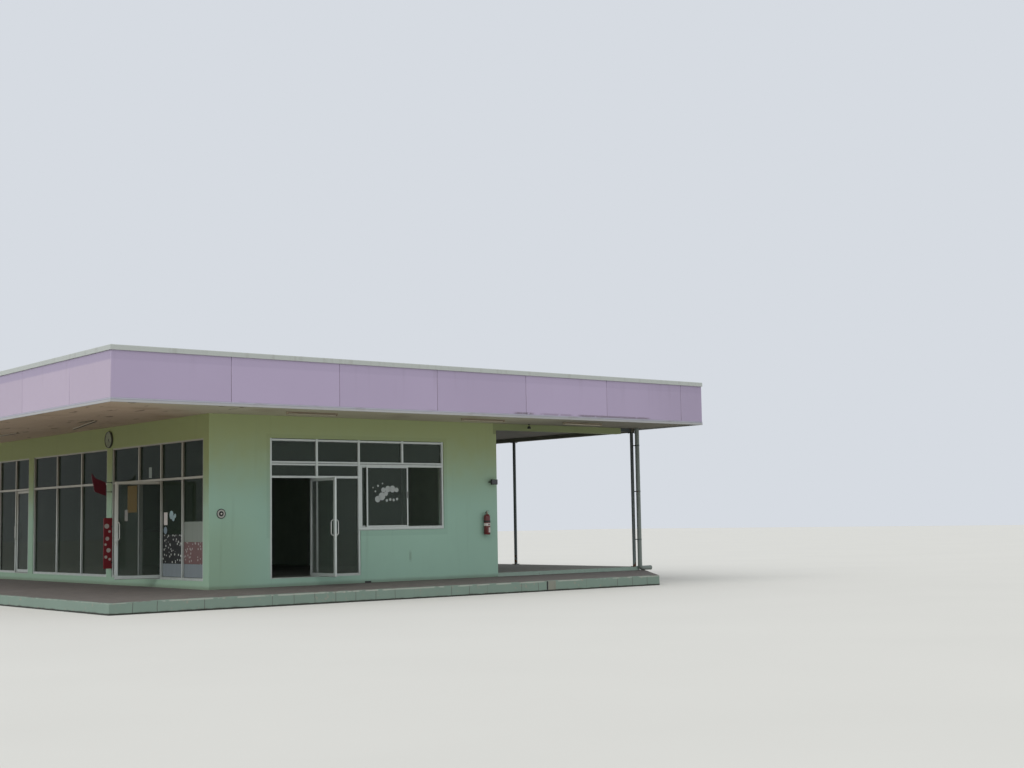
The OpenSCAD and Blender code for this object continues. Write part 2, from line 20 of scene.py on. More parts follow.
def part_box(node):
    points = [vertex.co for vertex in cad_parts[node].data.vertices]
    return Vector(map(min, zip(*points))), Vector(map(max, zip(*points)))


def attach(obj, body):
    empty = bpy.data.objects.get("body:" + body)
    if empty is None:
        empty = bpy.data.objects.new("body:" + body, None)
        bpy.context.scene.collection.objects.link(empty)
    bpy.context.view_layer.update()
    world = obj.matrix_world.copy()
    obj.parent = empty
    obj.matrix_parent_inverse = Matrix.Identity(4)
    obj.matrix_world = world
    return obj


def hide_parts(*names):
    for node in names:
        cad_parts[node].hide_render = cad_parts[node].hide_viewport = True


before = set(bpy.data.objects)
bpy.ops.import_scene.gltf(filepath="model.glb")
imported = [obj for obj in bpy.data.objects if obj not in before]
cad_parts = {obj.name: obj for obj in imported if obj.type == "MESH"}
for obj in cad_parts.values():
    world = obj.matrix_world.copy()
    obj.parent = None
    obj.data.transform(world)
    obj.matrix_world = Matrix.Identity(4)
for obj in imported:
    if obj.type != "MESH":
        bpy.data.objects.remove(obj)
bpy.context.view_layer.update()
LOG = logging.getLogger("filling_station_shop")

# How far the ground lies below the apron, and how far the walls run back
GROUND_DEPTH = 0.27
WALLS_DEPTH = 14.3
# Heights above the apron
SOFFIT_Z = 3.547
FRAME_HEAD = 3.08
WINDOW_SILL = 1.139
# How far a pane's two faces lie behind the outer face of its wall
GLASS_FACES = (0.057, 0.063)
# Faces that meet at a greater angle than this keep an edge
SHARP_EDGE = math.radians(38)
# The walls' front left corner at the apron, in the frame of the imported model
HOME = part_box("front_wall_left")[0] + Vector((0.0, 0.0, GROUND_DEPTH))

Colour = tuple[float, float, float, float]
Span = tuple[float, float]
Corner = Sequence[float]


def cad(node: str) -> tuple[Vector, Vector]:
    """Lowest and highest corner of a CAD node in the walls' frame."""
    low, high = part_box(node)
    return low - HOME, high - HOME


def srgb(red: int, green: int, blue: int) -> Colour:
    """The linear colour of one that is given as it looks on a screen."""
    return (*(((part / 255 + 0.055) / 1.055) ** 2.4 for part in (red, green, blue)), 1.0)


# Shader expressions


class Value:
    """A shader socket. Operators on it add Math nodes, so that a mask reads as a sum."""

    def __init__(self, nodes: "Nodes", socket: bpy.types.NodeSocket | None) -> None:
        """Keeps the socket and the nodes that its operators add to."""
        self.nodes, self.socket = nodes, socket

    def _math(self, operation: str, first: "Value | float", second: "Value | float") -> "Value":
        """A Math node on two values."""
        return self.nodes.node("ShaderNodeMath", {"operation": operation}, {0: first, 1: second})

    def __add__(self, other: "Value | float") -> "Value":
        """This value and another, added."""
        return self._math("ADD", self, other)

    __radd__ = __add__

    def __sub__(self, other: "Value | float") -> "Value":
        """This value less another."""
        return self._math("SUBTRACT", self, other)

    def __rsub__(self, other: float) -> "Value":
        """A number less this value."""
        return self._math("SUBTRACT", other, self)

    def __mul__(self, other: "Value | float") -> "Value":
        """This value times another."""
        return self._math("MULTIPLY", self, other)

    __rmul__ = __mul__

    def __truediv__(self, other: "Value | float") -> "Value":
        """This value over another."""
        return self._math("DIVIDE", self, other)

    def __rtruediv__(self, other: float) -> "Value":
        """A number over this value."""
        return self._math("DIVIDE", other, self)

    def __gt__(self, other: "Value | float") -> "Value":
        """1 where this value is the greater one, and 0 elsewhere."""
        return self._math("GREATER_THAN", self, other)

    def __lt__(self, other: "Value | float") -> "Value":
        """1 where this value is the smaller one, and 0 elsewhere."""
        return self._math("LESS_THAN", self, other)

    def __mod__(self, other: float) -> "Value":
        """What is left of this value after whole steps of another, never negative."""
        return self._math("FLOORED_MODULO", self, other)

    def __abs__(self) -> "Value":
        """The distance of this value from zero."""
        return self.nodes.node("ShaderNodeMath", {"operation": "ABSOLUTE"}, {0: self})

    def most(self, other: "Value | float") -> "Value":
        """The greater of this value and another."""
        return self._math("MAXIMUM", self, other)


class Nodes:
    """A node tree that is written as Python expressions."""

    def __init__(self, tree: bpy.types.NodeTree) -> None:
        """Starts from an empty tree."""
        self.tree = tree
        tree.nodes.clear()

    def node(self, kind: str, settings: dict | None = None, inputs: dict | None = None,
             out: int | str = 0) -> Value:
        """Adds one node.

        Args:
            kind: Blender's type name of the node.
            settings: its settings, which are set first; "stops" are the stops of a ramp.
            inputs: values or links of its sockets, by name or place.
            out: name or place of the output that is wanted.

        Returns:
            The output as a Value.
        """
        made = self.tree.nodes.new(kind)
        for name, value in (settings or {}).items():
            if name == "stops":
                for element, (place, colour) in zip(self._elements(made, len(value)), value):
                    element.position, element.color = place, colour
            else:
                setattr(made, name, value)
        for key, value in (inputs or {}).items():
            if isinstance(value, Value):
                self.tree.links.new(value.socket, made.inputs[key])
            else:
                made.inputs[key].default_value = value
        return Value(self, made.outputs[out] if made.outputs else None)

    @staticmethod
    def _elements(ramp: bpy.types.Node, count: int) -> list[bpy.types.ColorRampElement]:
        """The stops of a ramp, after as many as needed are added."""
        while len(ramp.color_ramp.elements) < count:
            ramp.color_ramp.elements.new(1.0)
        return list(ramp.color_ramp.elements)

    def mix(self, first: "Value | Colour", second: "Value | Colour", share: "Value | float") -> Value:
        """The first colour turned towards the second by a share."""
        return self.node("ShaderNodeMix", {"data_type": "RGBA"}, {0: share, 6: first, 7: second}, out=2)

    def scaled(self, colour: "Value | Colour", factor: "Value | float") -> Value:
        """A colour made lighter or darker by a factor."""
        colour = colour if isinstance(colour, Value) else colour[:3]
        return self.node("ShaderNodeVectorMath", {"operation": "SCALE"}, {0: colour, "Scale": factor})

    def rise(self, value: Value, low: float, high: float) -> Value:
        """A soft step from 0 at low to 1 at high, which may lie below low."""
        return self.node("ShaderNodeMapRange", {"interpolation_type": "SMOOTHSTEP"},
                         {0: value, 1: low, 2: high, 3: 0.0, 4: 1.0})


class Paint(Nodes):
    """The nodes of one material, with the place on the building in the walls' frame."""

    def __init__(self, name: str) -> None:
        """Makes the material and its coordinates."""
        self.material = bpy.data.materials.new(name)
        self.material.use_nodes = True
        super().__init__(self.material.node_tree)
        local = self.node("ShaderNodeTexCoord", out="Object")
        self.place = self.node("ShaderNodeVectorMath", {"operation": "SUBTRACT"},
                               {0: local, 1: tuple(HOME)})
        self.x, self.y, self.z = self.parts(self.place)

    def parts(self, vector: Value) -> tuple[Value, Value, Value]:
        """The three parts of a vector."""
        split = self.node("ShaderNodeSeparateXYZ", inputs={0: vector}).socket.node
        return tuple(Value(self, split.outputs[part]) for part in range(3))

    def facing(self) -> tuple[Value, Value, Value]:
        """The parts of the surface's normal."""
        return self.parts(self.node("ShaderNodeNewGeometry", out="Normal"))

    def upward(self, low: float, high: float) -> Value:
        """A soft step on how far the surface faces up."""
        return self.rise(self.facing()[2], low, high)

    def leftward(self) -> Value:
        """1 on faces that look to the left, and 0 on the others."""
        return self.rise(self.facing()[0], -0.5, -0.8)

    def noise(self, scale: float, detail: float = 3.0, stretch: Corner | None = None) -> Value:
        """Smooth noise around 0.5.

        Args:
            scale: how many swellings there are to a metre.
            detail: how many finer layers lie on it.
            stretch: factors on X, Y and Z, of which a small one draws the noise out.

        Returns:
            The noise.
        """
        where = self.place if stretch is None else self.node(
            "ShaderNodeVectorMath", {"operation": "MULTIPLY"}, {0: self.place, 1: tuple(stretch)})
        return self.node("ShaderNodeTexNoise", inputs={"Vector": where, "Scale": scale, "Detail": detail})

    def cells(self, scale: float) -> Value:
        """The distance to the nearest point of a scatter."""
        return self.node("ShaderNodeTexVoronoi", inputs={"Vector": self.place, "Scale": scale})

    def tone(self) -> Value:
        """The number around 0.5 that Shape gives to each board, panel or slab."""
        return self.node("ShaderNodeAttribute", {"attribute_name": "tone"}, out="Fac")

    def surface(self, colour: "Value | Colour", roughness: "Value | float", height: Value | None = None,
                depth: float = 0.001, **sockets: "Value | float") -> bpy.types.Material:
        """Ends the tree in one shader.

        Args:
            colour: base colour.
            roughness: roughness.
            height: relief from 0 to 1.
            depth: what a relief of 1 is in metres.
            sockets: other sockets of the shader, with _ for a space.

        Returns:
            The finished material.
        """
        inputs = {"Base Color": colour, "Roughness": roughness}
        inputs |= {name.replace("_", " "): value for name, value in sockets.items()}
        if height is not None:
            inputs["Normal"] = self.node("ShaderNodeBump", inputs={"Distance": depth, "Height": height})
        shader = self.node("ShaderNodeBsdfPrincipled", inputs=inputs)
        self.node("ShaderNodeOutputMaterial", inputs={"Surface": shader})
        return self.material


# Finishes


@dataclass(frozen=True)
class MintPlaster:
    """Mint paint on plaster, dusty and olive with painted bounce light below the roof, with painted olive
    shade on the side wall, and grey green indoors.
    """

    paint: Colour = srgb(153, 187, 170)
    # dust: olive colour for dust and for painted bounce light from the tan soffit and ground below the roof
    dust: Colour = srgb(157, 161, 102)
    shade: Colour = srgb(136, 143, 94)
    # low: painted warm shade low on the front wall near its left corner
    low: Colour = srgb(146, 175, 152)
    grime: Colour = srgb(96, 100, 80)
    indoors: Colour = srgb(190, 210, 190)
    inner_x: Span = (0.19, 7.197)
    inner_y: Span = (0.19, 14.11)
    opening: Span = (1.4, 5.862)
    band: float = 0.085
    band_foot: float = 1.0
    bay_shade_foot: float = 3.3
    smudge: Span = (4.92, 0.54)
    corner_shade_x: Span = (1.6, 0.2)
    corner_shade_z: Span = (2.0, 0.9)
    side_z: Span = (1.9, 1.3)
    middle_z: tuple[Span, Span] = ((0.6, 1.3), (2.95, 2.5))
    dust_and_bounce_z: Span = (1.7, 3.7)
    shade_z: Span = (1.1, 3.5)
    shade_ease_y: Span = (4.0, 0.3)
    grime_z: Span = (0.12, 0.03)

    def material(self) -> bpy.types.Material:
        """The paint, with dim runs, a rolled surface and a smoother band round the front opening."""
        p = Paint("mint_plaster")
        broad, patch = p.noise(0.6, 2.0), p.noise(3.2, 5.0)
        grain = p.noise(140.0, 3.0)
        paint = p.scaled(self.paint, 0.92 + broad * 0.1 + patch * 0.06)
        on_side = p.leftward()
        # Painted shade: warmer and darker low on the front wall near the left corner
        paint = p.mix(paint, self.low, p.rise(p.x, *self.corner_shade_x) * p.rise(p.z, *self.corner_shade_z))
        below, above = self.middle_z
        middle = p.rise(p.z, *below) * p.rise(p.z, *above)
        paint = p.scaled(paint, 1.0 - on_side * p.rise(p.z, *self.side_z) * 0.05 + middle * 0.035)
        # Towards the soffit the walls turn olive: partly dust, partly painted bounce light from the tan
        # soffit and ground
        paint = p.mix(paint, self.dust, p.rise(p.z + patch * 0.5, *self.dust_and_bounce_z) * 0.8)
        # Painted shade on the side wall: olive rising towards the soffit, easing off towards the front corner
        paint = p.mix(paint, self.shade, on_side * p.rise(p.z + patch * 0.6, *self.shade_z))
        paint = p.scaled(paint, 1.0 + on_side * p.rise(p.y, *self.shade_ease_y) * 0.07)
        runs = p.rise(p.noise(1.0, 4.0, (6.0, 6.0, 0.4)), 0.55, 0.8)
        paint = p.mix(paint, self.grime, runs * 0.12)
        paint = p.mix(paint, self.grime, p.rise(p.z + patch * 0.04, *self.grime_z) * 0.5)
        # Painted shade: the wall face in the open bay is darker above the foot of the beam
        paint = p.mix(paint, p.scaled(paint, 0.7), (p.x > self.inner_x[1] + 0.1) * (p.z > self.bay_shade_foot))
        aside, off = abs(p.x - self.smudge[0]) + patch * 0.05, abs(p.z - self.smudge[1])
        smudge = p.rise(aside, 0.07, 0.03) * p.rise(off, 0.16, 0.04) * p.rise(p.y, 0.02, 0.01)
        paint = p.mix(paint, self.grime, smudge * 0.35)
        near = (p.x > self.opening[0] - self.band) * (p.x < self.opening[1] + self.band)
        smooth = near * (p.z < FRAME_HEAD + self.band) * (p.y < 0.05) * (p.z > self.band_foot)
        paint = p.mix(paint, p.scaled(paint, 0.93), smooth)
        indoors = ((p.x > self.inner_x[0]) * (p.x < self.inner_x[1])
                   * (p.y > self.inner_y[0]) * (p.y < self.inner_y[1]))
        paint = p.mix(paint, p.scaled(self.indoors, 0.9 + patch * 0.2), indoors)
        return p.surface(paint, 0.72 + patch * 0.18, (grain + patch * 0.5) * (1.0 - smooth * 0.6), 0.0012)


@dataclass(frozen=True)
class LilacPanel:
    """Lilac cladding: a painted shadow strip under the cap, faint runs, and dirt along the foot."""

    paint: Colour = srgb(168, 154, 180)
    # side: the paint as lit on the left faces, lighter and greyer, which is painted light
    side: Colour = srgb(171, 157, 175)
    # deep: the painted shadow of the cap, in a strip below it
    deep: Colour = srgb(150, 138, 163)
    dirt: Colour = srgb(120, 110, 122)
    top: float = 4.45
    strip: float = 0.17
    foot: float = 3.593
    right_end: Span = (9.5, 11.7)
    streaks: tuple[tuple[float, float, float], ...] = (
        (6.23, 6.95, 0.95), (7.0, 8.1, 0.45), (8.1, 10.5, 0.9))

    def material(self) -> bpy.types.Material:
        """The paint, which differs a little from panel to panel and is lighter and greyer on the left, which
        is painted light.
        """
        p = Paint("lilac_panel")
        broad = p.noise(0.45, 3.0)
        fine = p.noise(9.0, 4.0)
        on_side = p.leftward()
        # The left faces take the side colour, which is painted light
        colour = p.scaled(p.mix(self.paint, self.side, on_side), 0.9 + p.tone() * 0.09 + broad * 0.1)
        # Painted shadow of the cap: a deeper strip below it, strongest on the side
        cap_shadow_band = p.rise(p.z + fine * 0.02, self.top - self.strip - 0.01, self.top - self.strip + 0.03)
        colour = p.mix(colour, self.deep, cap_shadow_band * (0.25 + on_side * 0.55))
        runs = p.rise(p.noise(1.0, 3.0, (5.0, 5.0, 0.5)), 0.56, 0.78) * p.rise(p.z, self.foot, self.top)
        colour = p.mix(colour, self.dirt, runs * 0.16)
        low = p.rise(p.z + fine * 0.05, self.foot + 0.075, self.foot)
        dashes = p.rise(p.noise(1.6, 2.0), 0.56, 0.66) * low
        colour = p.mix(colour, self.dirt, dashes * 0.35)
        colour = p.scaled(colour, 1.0 - p.rise(p.x, *self.right_end) * 0.09)
        worst = p.rise(p.z + fine * 0.02, self.foot + 0.064, self.foot + 0.044) * p.rise(p.y, 0.0, -0.1)
        for start, end, strength in self.streaks:
            ragged = p.x + fine * 0.2
            span = p.rise(ragged, start, start + 0.2) * p.rise(ragged, end, end - 0.2)
            colour = p.mix(colour, self.dirt, worst * span * p.rise(fine, 0.3, 0.42) * strength)
        return p.surface(colour, 0.42 + fine * 0.12, broad + fine * 0.04, 0.006)


@dataclass(frozen=True)
class BandedTrim:
    """Trim at the foot of the fascia: a lavender grey band of painted shade over a lighter grey one."""

    shaded_band: Colour = srgb(165, 164, 175)
    lower: Colour = srgb(166, 166, 167)
    stain: Colour = srgb(118, 110, 98)
    change: float = 3.562
    dimmer: Span = (4.8, 6.4)

    def material(self) -> bpy.types.Material:
        """Weathered sheet metal."""
        p = Paint("grey_trim")
        patch = p.noise(4.0, 4.0)
        # The lavender grey upper band is painted shade below the panels
        colour = p.mix(self.lower, self.shaded_band, p.z > self.change)
        colour = p.scaled(colour, 0.9 + p.tone() * 0.1 + patch * 0.1 - p.rise(p.x, *self.dimmer) * 0.07)
        colour = p.mix(colour, self.stain, p.rise(p.noise(2.2, 5.0, (1.0, 1.0, 3.0)), 0.56, 0.72) * 0.3)
        return p.surface(colour, 0.4 + patch * 0.2, patch, 0.0006, Metallic=0.15)


@dataclass(frozen=True)
class CapMetal:
    """Pale grey folded cap of the roof, with water marks."""

    colour: Colour = srgb(178, 182, 177)
    mark: Colour = srgb(140, 138, 130)

    def material(self) -> bpy.types.Material:
        """Sheet metal with streaks down its face and grime on its top."""
        p = Paint("cap_metal")
        patch = p.noise(2.5, 5.0)
        streak = p.rise(p.noise(1.0, 3.0, (9.0, 9.0, 0.6)), 0.52, 0.78)
        colour = p.scaled(self.colour, 0.92 + p.tone() * 0.06 + patch * 0.08)
        colour = p.mix(colour, self.mark, streak * 0.3)
        colour = p.mix(colour, self.mark, p.upward(0.5, 0.9) * p.rise(patch, 0.4, 0.7) * 0.5)
        return p.surface(colour, 0.38 + patch * 0.22, patch, 0.0008, Metallic=0.2)


@dataclass(frozen=True)
class SoffitBoard:
    """Tan boards, redder at the left and dimmer at the right, with stains, dark spots and a darker bay."""

    board: Colour = srgb(176, 170, 148)
    left: Colour = srgb(177, 155, 133)
    stain: Colour = srgb(128, 108, 84)
    spot: Colour = srgb(84, 72, 60)
    bay: Colour = srgb(94, 90, 82)
    dim: float = 0.42
    dimmer: Span = (6.4, 9.9)
    corner: Span = (10.4, 11.2)
    redder: Span = (-0.3, 2.2)
    spots_x: Span = (1.2, 0.2)
    bay_from: float = 7.387

    def material(self) -> bpy.types.Material:
        """Thin painted board."""
        p = Paint("soffit_board")
        broad, patch = p.noise(0.5, 3.0), p.noise(6.0, 5.0)
        colour = p.mix(self.board, self.left, p.rise(p.y - p.x + broad, *self.redder))
        colour = p.mix(colour, p.scaled(colour, self.dim), p.rise(p.x + broad, *self.dimmer))
        colour = p.scaled(colour, 1.0 - p.rise(p.x, *self.corner) * 0.2)
        colour = p.mix(colour, self.bay, (p.x > self.bay_from) * (p.y > 0.0) * (p.y < WALLS_DEPTH))
        colour = p.scaled(colour, 0.88 + p.tone() * 0.09 + broad * 0.14)
        pool = p.noise(0.9, 4.0)
        colour = p.mix(colour, self.stain, p.rise(pool, 0.56, 0.7) * 0.38)
        spots = p.rise(p.noise(5.0, 2.0, (1.0, 0.3, 1.0)), 0.66, 0.69)
        colour = p.mix(colour, self.spot, spots * p.rise(p.x + broad, *self.spots_x) * 0.7)
        return p.surface(colour, 0.75 + patch * 0.15, patch + p.noise(90.0, 2.0) * 0.4, 0.0008)


@dataclass(frozen=True)
class Aluminium:
    """Satin aluminium of frames and doors, dusty on its ledges and browner towards the top of the side, which
    is painted shade.
    """

    name: str = "aluminium"
    colour: Colour = srgb(196, 202, 198)
    dust: Colour = srgb(128, 130, 116)
    shade: Colour = srgb(146, 136, 116)
    side_x: Span = (0.3, 0.12)
    side_z: Span = (0.2, 2.6)
    foot_z: Span = (0.5, 0.12)
    metallic: float = 0.55
    roughness: float = 0.36

    def material(self) -> bpy.types.Material:
        """Drawn metal with a fine upright grain."""
        p = Paint(self.name)
        patch = p.noise(7.0, 4.0)
        grain = p.noise(60.0, 3.0, (6.0, 6.0, 0.3))
        ledge = p.upward(0.5, 0.95) * 0.6
        foot = p.rise(p.z + patch * 0.3, *self.foot_z) * 0.4
        colour = p.scaled(self.colour, 0.88 + patch * 0.14 + grain * 0.06)
        colour = p.mix(colour, self.dust, (p.rise(patch, 0.55, 0.8) * 0.35).most(ledge).most(foot))
        # Painted shade: browner towards the top on the side wall
        at_side = p.rise(p.x, *self.side_x) * p.rise(p.z, *self.side_z)
        colour = p.mix(colour, self.shade, at_side * 0.8)
        return p.surface(colour, self.roughness + patch * 0.16, grain, 0.0003, Metallic=self.metallic)


@dataclass(frozen=True)
class TintedGlass:
    """Dark glass with wipe marks and dust along its foot."""

    name: str
    colour: Colour
    alpha: float
    ior: float = 1.3
    dust: Colour = srgb(112, 118, 108)
    foot_z: Span = (0.75, 0.35)

    def material(self) -> bpy.types.Material:
        """Thin glass that is partly see-through."""
        p = Paint(self.name)
        smear = p.rise(p.noise(1.6, 5.0, (1.0, 1.0, 2.2)), 0.5, 0.8)
        foot = p.rise(p.z + p.noise(5.0, 3.0) * 0.4, *self.foot_z)
        dirt = smear * 0.25 + foot * 0.3
        return p.surface(p.mix(self.colour, self.dust, dirt * 0.35), 0.03 + dirt * 0.2,
                         Alpha=self.alpha + dirt * 0.14, IOR=self.ior)


@dataclass(frozen=True)
class WornApron:
    """Concrete apron with a grey brown top and a chipped mint face, with painted shadow along the face's
    foot.
    """

    top: Colour = srgb(96, 90, 85)
    # damp: damp patches, and painted shade at the foot of the face
    damp_and_shade: Colour = srgb(76, 73, 68)
    bare: Colour = srgb(140, 136, 124)
    mint: Colour = srgb(117, 135, 124)
    worn: Colour = srgb(168, 170, 160)
    # joint: the dark painted shadow line along the foot of the face
    joint: Colour = srgb(44, 46, 40)
    mended_x: Span = (7.10, 7.32)
    mended_y: float = -2.0
    front: float = -2.128
    left: float = -3.034
    line_w: Span = (0.11, 0.09)
    walls_y: Span = (-0.13, -0.04)
    crack_pitch: float = 0.47
    crack_w: Span = (0.009, 0.004)
    worn_z: Span = (-0.066, -0.052)
    foot_shade_z: Span = (-0.17, -0.25)
    foot_shadow_z: Span = (-0.222, -0.236)

    def material(self) -> bpy.types.Material:
        """Trowelled concrete, painted on its faces and on a worn line along its edge, with painted shade
        darkening the foot of the face.
        """
        p = Paint("worn_apron")
        broad, patch, fine = p.noise(0.8, 4.0), p.noise(5.0, 5.0), p.noise(60.0, 3.0)
        top = p.scaled(self.top, 0.8 + p.tone() * 0.14 + broad * 0.22 + fine * 0.08)
        top = p.mix(top, self.damp_and_shade, p.rise(patch, 0.5, 0.72) * 0.5)
        line = p.rise(p.y, *(self.front + w for w in self.line_w)).most(
            p.rise(p.x, *(self.left + w for w in self.line_w)))
        top = p.mix(top, self.mint, line * p.rise(patch + broad * 0.3, 0.52, 0.62) * 0.85)
        # Darker along the foot of the walls
        top = p.mix(top, self.damp_and_shade, p.rise(p.y, *self.walls_y) * (p.y < 0.0) * 0.5)
        face = p.scaled(self.mint, 0.86 + broad * 0.16 + patch * 0.1)
        chips = p.rise(p.noise(11.0, 5.0), 0.63, 0.68)
        face = p.mix(face, self.bare, chips * 0.7)
        wobble = p.x + (p.noise(3.0, 2.0) - 0.5) * 0.05
        crack = p.rise(abs(wobble % self.crack_pitch - self.crack_pitch / 2), *self.crack_w)
        crack = crack * p.rise(p.noise(1.1, 1.0, (1.0, 1.0, 0.0)), 0.4, 0.5)
        face = p.mix(face, self.damp_and_shade, crack * 0.8)
        worn = p.rise(p.z + patch * 0.02, *self.worn_z)
        face = p.mix(face, self.worn, worn * p.rise(p.noise(4.0, 3.0), 0.42, 0.52) * 0.7)
        mended = (p.x > self.mended_x[0]) * (p.x < self.mended_x[1]) * (p.y < self.mended_y)
        face = p.mix(face, p.scaled(self.bare, 0.6 + patch * 0.5), mended * 0.75)
        # Painted shade darkens the foot of the face
        face = p.mix(face, self.damp_and_shade, p.rise(p.z + patch * 0.08, *self.foot_shade_z) * 0.9)
        # Painted shadow: a dark line along the very foot of the face
        face = p.mix(face, self.joint, p.rise(p.z + patch * 0.02, *self.foot_shadow_z))
        colour = p.mix(face, top, p.upward(0.6, 0.8))
        return p.surface(colour, 0.8 + patch * 0.12, fine + patch * 1.2 - chips * 0.6, 0.0022)


@dataclass(frozen=True)
class Concrete:
    """Cement floor, roof or wall that stays bare."""

    name: str
    colour: Colour
    stain: Colour = srgb(84, 80, 72)
    edge: Colour | None = None

    def material(self) -> bpy.types.Material:
        """Trowelled cement, with painted upright edges where an edge colour is given."""
        p = Paint(self.name)
        broad, patch, fine = p.noise(0.7, 4.0), p.noise(5.5, 5.0), p.noise(70.0, 3.0)
        colour = p.scaled(self.colour, 0.82 + broad * 0.24 + fine * 0.08)
        colour = p.mix(colour, self.stain, p.rise(patch, 0.52, 0.74) * 0.45)
        if self.edge is not None:
            edge = p.mix(p.scaled(self.edge, 0.84 + patch * 0.3), self.stain, p.rise(patch, 0.6, 0.7) * 0.4)
            colour = p.mix(edge, colour, p.upward(0.5, 0.8))
        return p.surface(colour, 0.78 + patch * 0.14, fine + patch, 0.0018)


@dataclass(frozen=True)
class FloorTile:
    """Grey tiles of the shop floor with darker joints."""

    tile: Colour = srgb(150, 152, 146)
    joint: Colour = srgb(104, 104, 98)
    pitch: float = 0.6
    joint_w: float = 0.006
    row_step: float = 17.0

    def material(self) -> bpy.types.Material:
        """Square tiles, each a little different."""
        p = Paint("floor_tile")
        lines = ((p.x % self.pitch) < self.joint_w).most((p.y % self.pitch) < self.joint_w)
        row, column = (place / self.pitch - (place / self.pitch) % 1.0 for place in (p.x, p.y))
        number = row * self.row_step + column
        each = p.node("ShaderNodeTexWhiteNoise", {"noise_dimensions": "1D"}, {"W": number})
        colour = p.mix(p.scaled(self.tile, 0.85 + each * 0.2 + p.noise(3.0, 4.0) * 0.2), self.joint, lines)
        return p.surface(colour, 0.3 + lines * 0.4 + p.noise(2.0, 3.0) * 0.2, 1.0 - lines, 0.0012)


@dataclass(frozen=True)
class RustedSteel:
    """Paint on steel, lighter at its foot and darker towards its top with painted shade from the roof, with
    spots of rust.
    """

    name: str = "painted_steel"
    paint: Colour = srgb(94, 104, 103)
    chalk: Colour = srgb(112, 121, 120)
    rust: Colour = srgb(98, 58, 34)
    foot: float = 0.085
    lighter: Span = (1.2, 0.2)
    # darker: heights over which painted shade from the roof darkens the steel
    darker: Span = (1.9, 3.0)

    def material(self) -> bpy.types.Material:
        """Brushed paint that rusts most near its foot."""
        p = Paint(self.name)
        patch, fine = p.noise(6.0, 5.0), p.noise(45.0, 4.0)
        colour = p.mix(self.paint, self.chalk, p.rise(patch, 0.4, 0.7) * 0.4)
        # Lighter at the foot; darker towards the top, which is painted shade from the roof
        light = p.rise(p.z, *self.lighter) * 0.42 - p.rise(p.z, *self.darker) * 0.35
        colour = p.scaled(colour, 0.64 + fine * 0.28 + light)
        low = p.rise(p.z, self.foot + 0.4, self.foot)
        rust = p.rise(p.noise(16.0, 5.0) + low * 0.16, 0.66, 0.7)
        colour = p.mix(colour, p.scaled(self.rust, 0.6 + fine * 0.8), rust)
        return p.surface(colour, 0.5 + rust * 0.35 + patch * 0.1, fine + rust * 1.5, 0.0007, Metallic=0.1)


@dataclass(frozen=True)
class Enamel:
    """Smooth paint, plastic or rubber with scuffs and dust."""

    name: str
    colour: Colour
    scuff: Colour = srgb(110, 106, 96)
    roughness: float = 0.4
    coat: float = 0.0
    metallic: float = 0.0
    wear: float = 0.3
    run: float = 1.0

    def material(self) -> bpy.types.Material:
        """The colour with fine mottle, worn patches and dust on what faces up."""
        p = Paint(self.name)
        patch, fine = p.noise(9.0, 5.0, (1.0, 1.0, self.run)), p.noise(80.0, 2.0)
        dust = p.upward(0.6, 1.0) * 0.4
        colour = p.scaled(self.colour, 0.88 + patch * 0.2 + fine * 0.05)
        colour = p.mix(colour, self.scuff, (p.rise(patch, 0.55, 0.75) * self.wear).most(dust * self.wear))
        return p.surface(colour, self.roughness + patch * 0.2, fine * 0.4 + patch, 0.0004,
                         Metallic=self.metallic, Coat_Weight=self.coat)


@dataclass(frozen=True)
class GlassFilm:
    """Film stuck on glass: plain and frosted, or scattered with round spots."""

    name: str
    ground: Colour
    spots: Colour | None = None
    scale: float = 13.0
    size: float = 0.34
    alpha: float = 0.9

    def material(self) -> bpy.types.Material:
        """Thin film with faint upright creases."""
        p = Paint(self.name)
        patch = p.noise(8.0, 4.0)
        crease = p.noise(2.0, 3.0, (14.0, 14.0, 0.5))
        colour = p.scaled(self.ground, 0.8 + crease * 0.3 + patch * 0.1)
        if self.spots is not None:
            spot = p.rise(p.cells(self.scale) + patch * 0.12, self.size + 0.05, self.size)
            colour = p.mix(colour, self.spots, spot)
        return p.surface(colour, 0.4 + patch * 0.2, crease, 0.0004, Alpha=self.alpha)


@dataclass(frozen=True)
class RoofSheet:
    """Dark sheets of roofing with pale dust where water stood."""

    sheet: Colour = srgb(92, 92, 90)
    dust: Colour = srgb(142, 136, 122)

    def material(self) -> bpy.types.Material:
        """Mineral granules on felt."""
        p = Paint("roof_sheet")
        pool, grain = p.noise(0.5, 5.0), p.noise(220.0, 2.0)
        colour = p.scaled(self.sheet, 0.7 + p.tone() * 0.2 + grain * 0.4)
        colour = p.mix(colour, self.dust, p.rise(pool, 0.42, 0.7) * 0.32)
        return p.surface(colour, 0.85 + grain * 0.1, grain + pool, 0.0016)


MINT = MintPlaster()
LILAC = LilacPanel()
TRIM = BandedTrim()
CAP = CapMetal()
SOFFIT = SoffitBoard()
ALUMINIUM = Aluminium()
HANDLE = Aluminium("handle_steel", srgb(204, 204, 200), metallic=0.95, roughness=0.22)
GLASS = TintedGlass("window_glass", srgb(64, 74, 66), 0.6)
SIDE_GLASS = TintedGlass("side_glass", srgb(38, 48, 37), 0.84, 1.11)
BACK_GLASS = TintedGlass("back_glass", srgb(58, 66, 60), 0.96)
DOOR_GLASS = TintedGlass("door_glass", srgb(64, 74, 66), 0.4, 1.2)
APRON = WornApron()
TILE = FloorTile()
STEEL = RustedSteel()
BEAM = RustedSteel("beam_steel", srgb(150, 146, 130), srgb(158, 152, 138))
BAY_CONCRETE = Concrete("bay_concrete", srgb(118, 116, 108), edge=srgb(150, 170, 158))
ROOF_CONCRETE = Concrete("roof_concrete", srgb(128, 126, 120))
SHEET = RoofSheet()
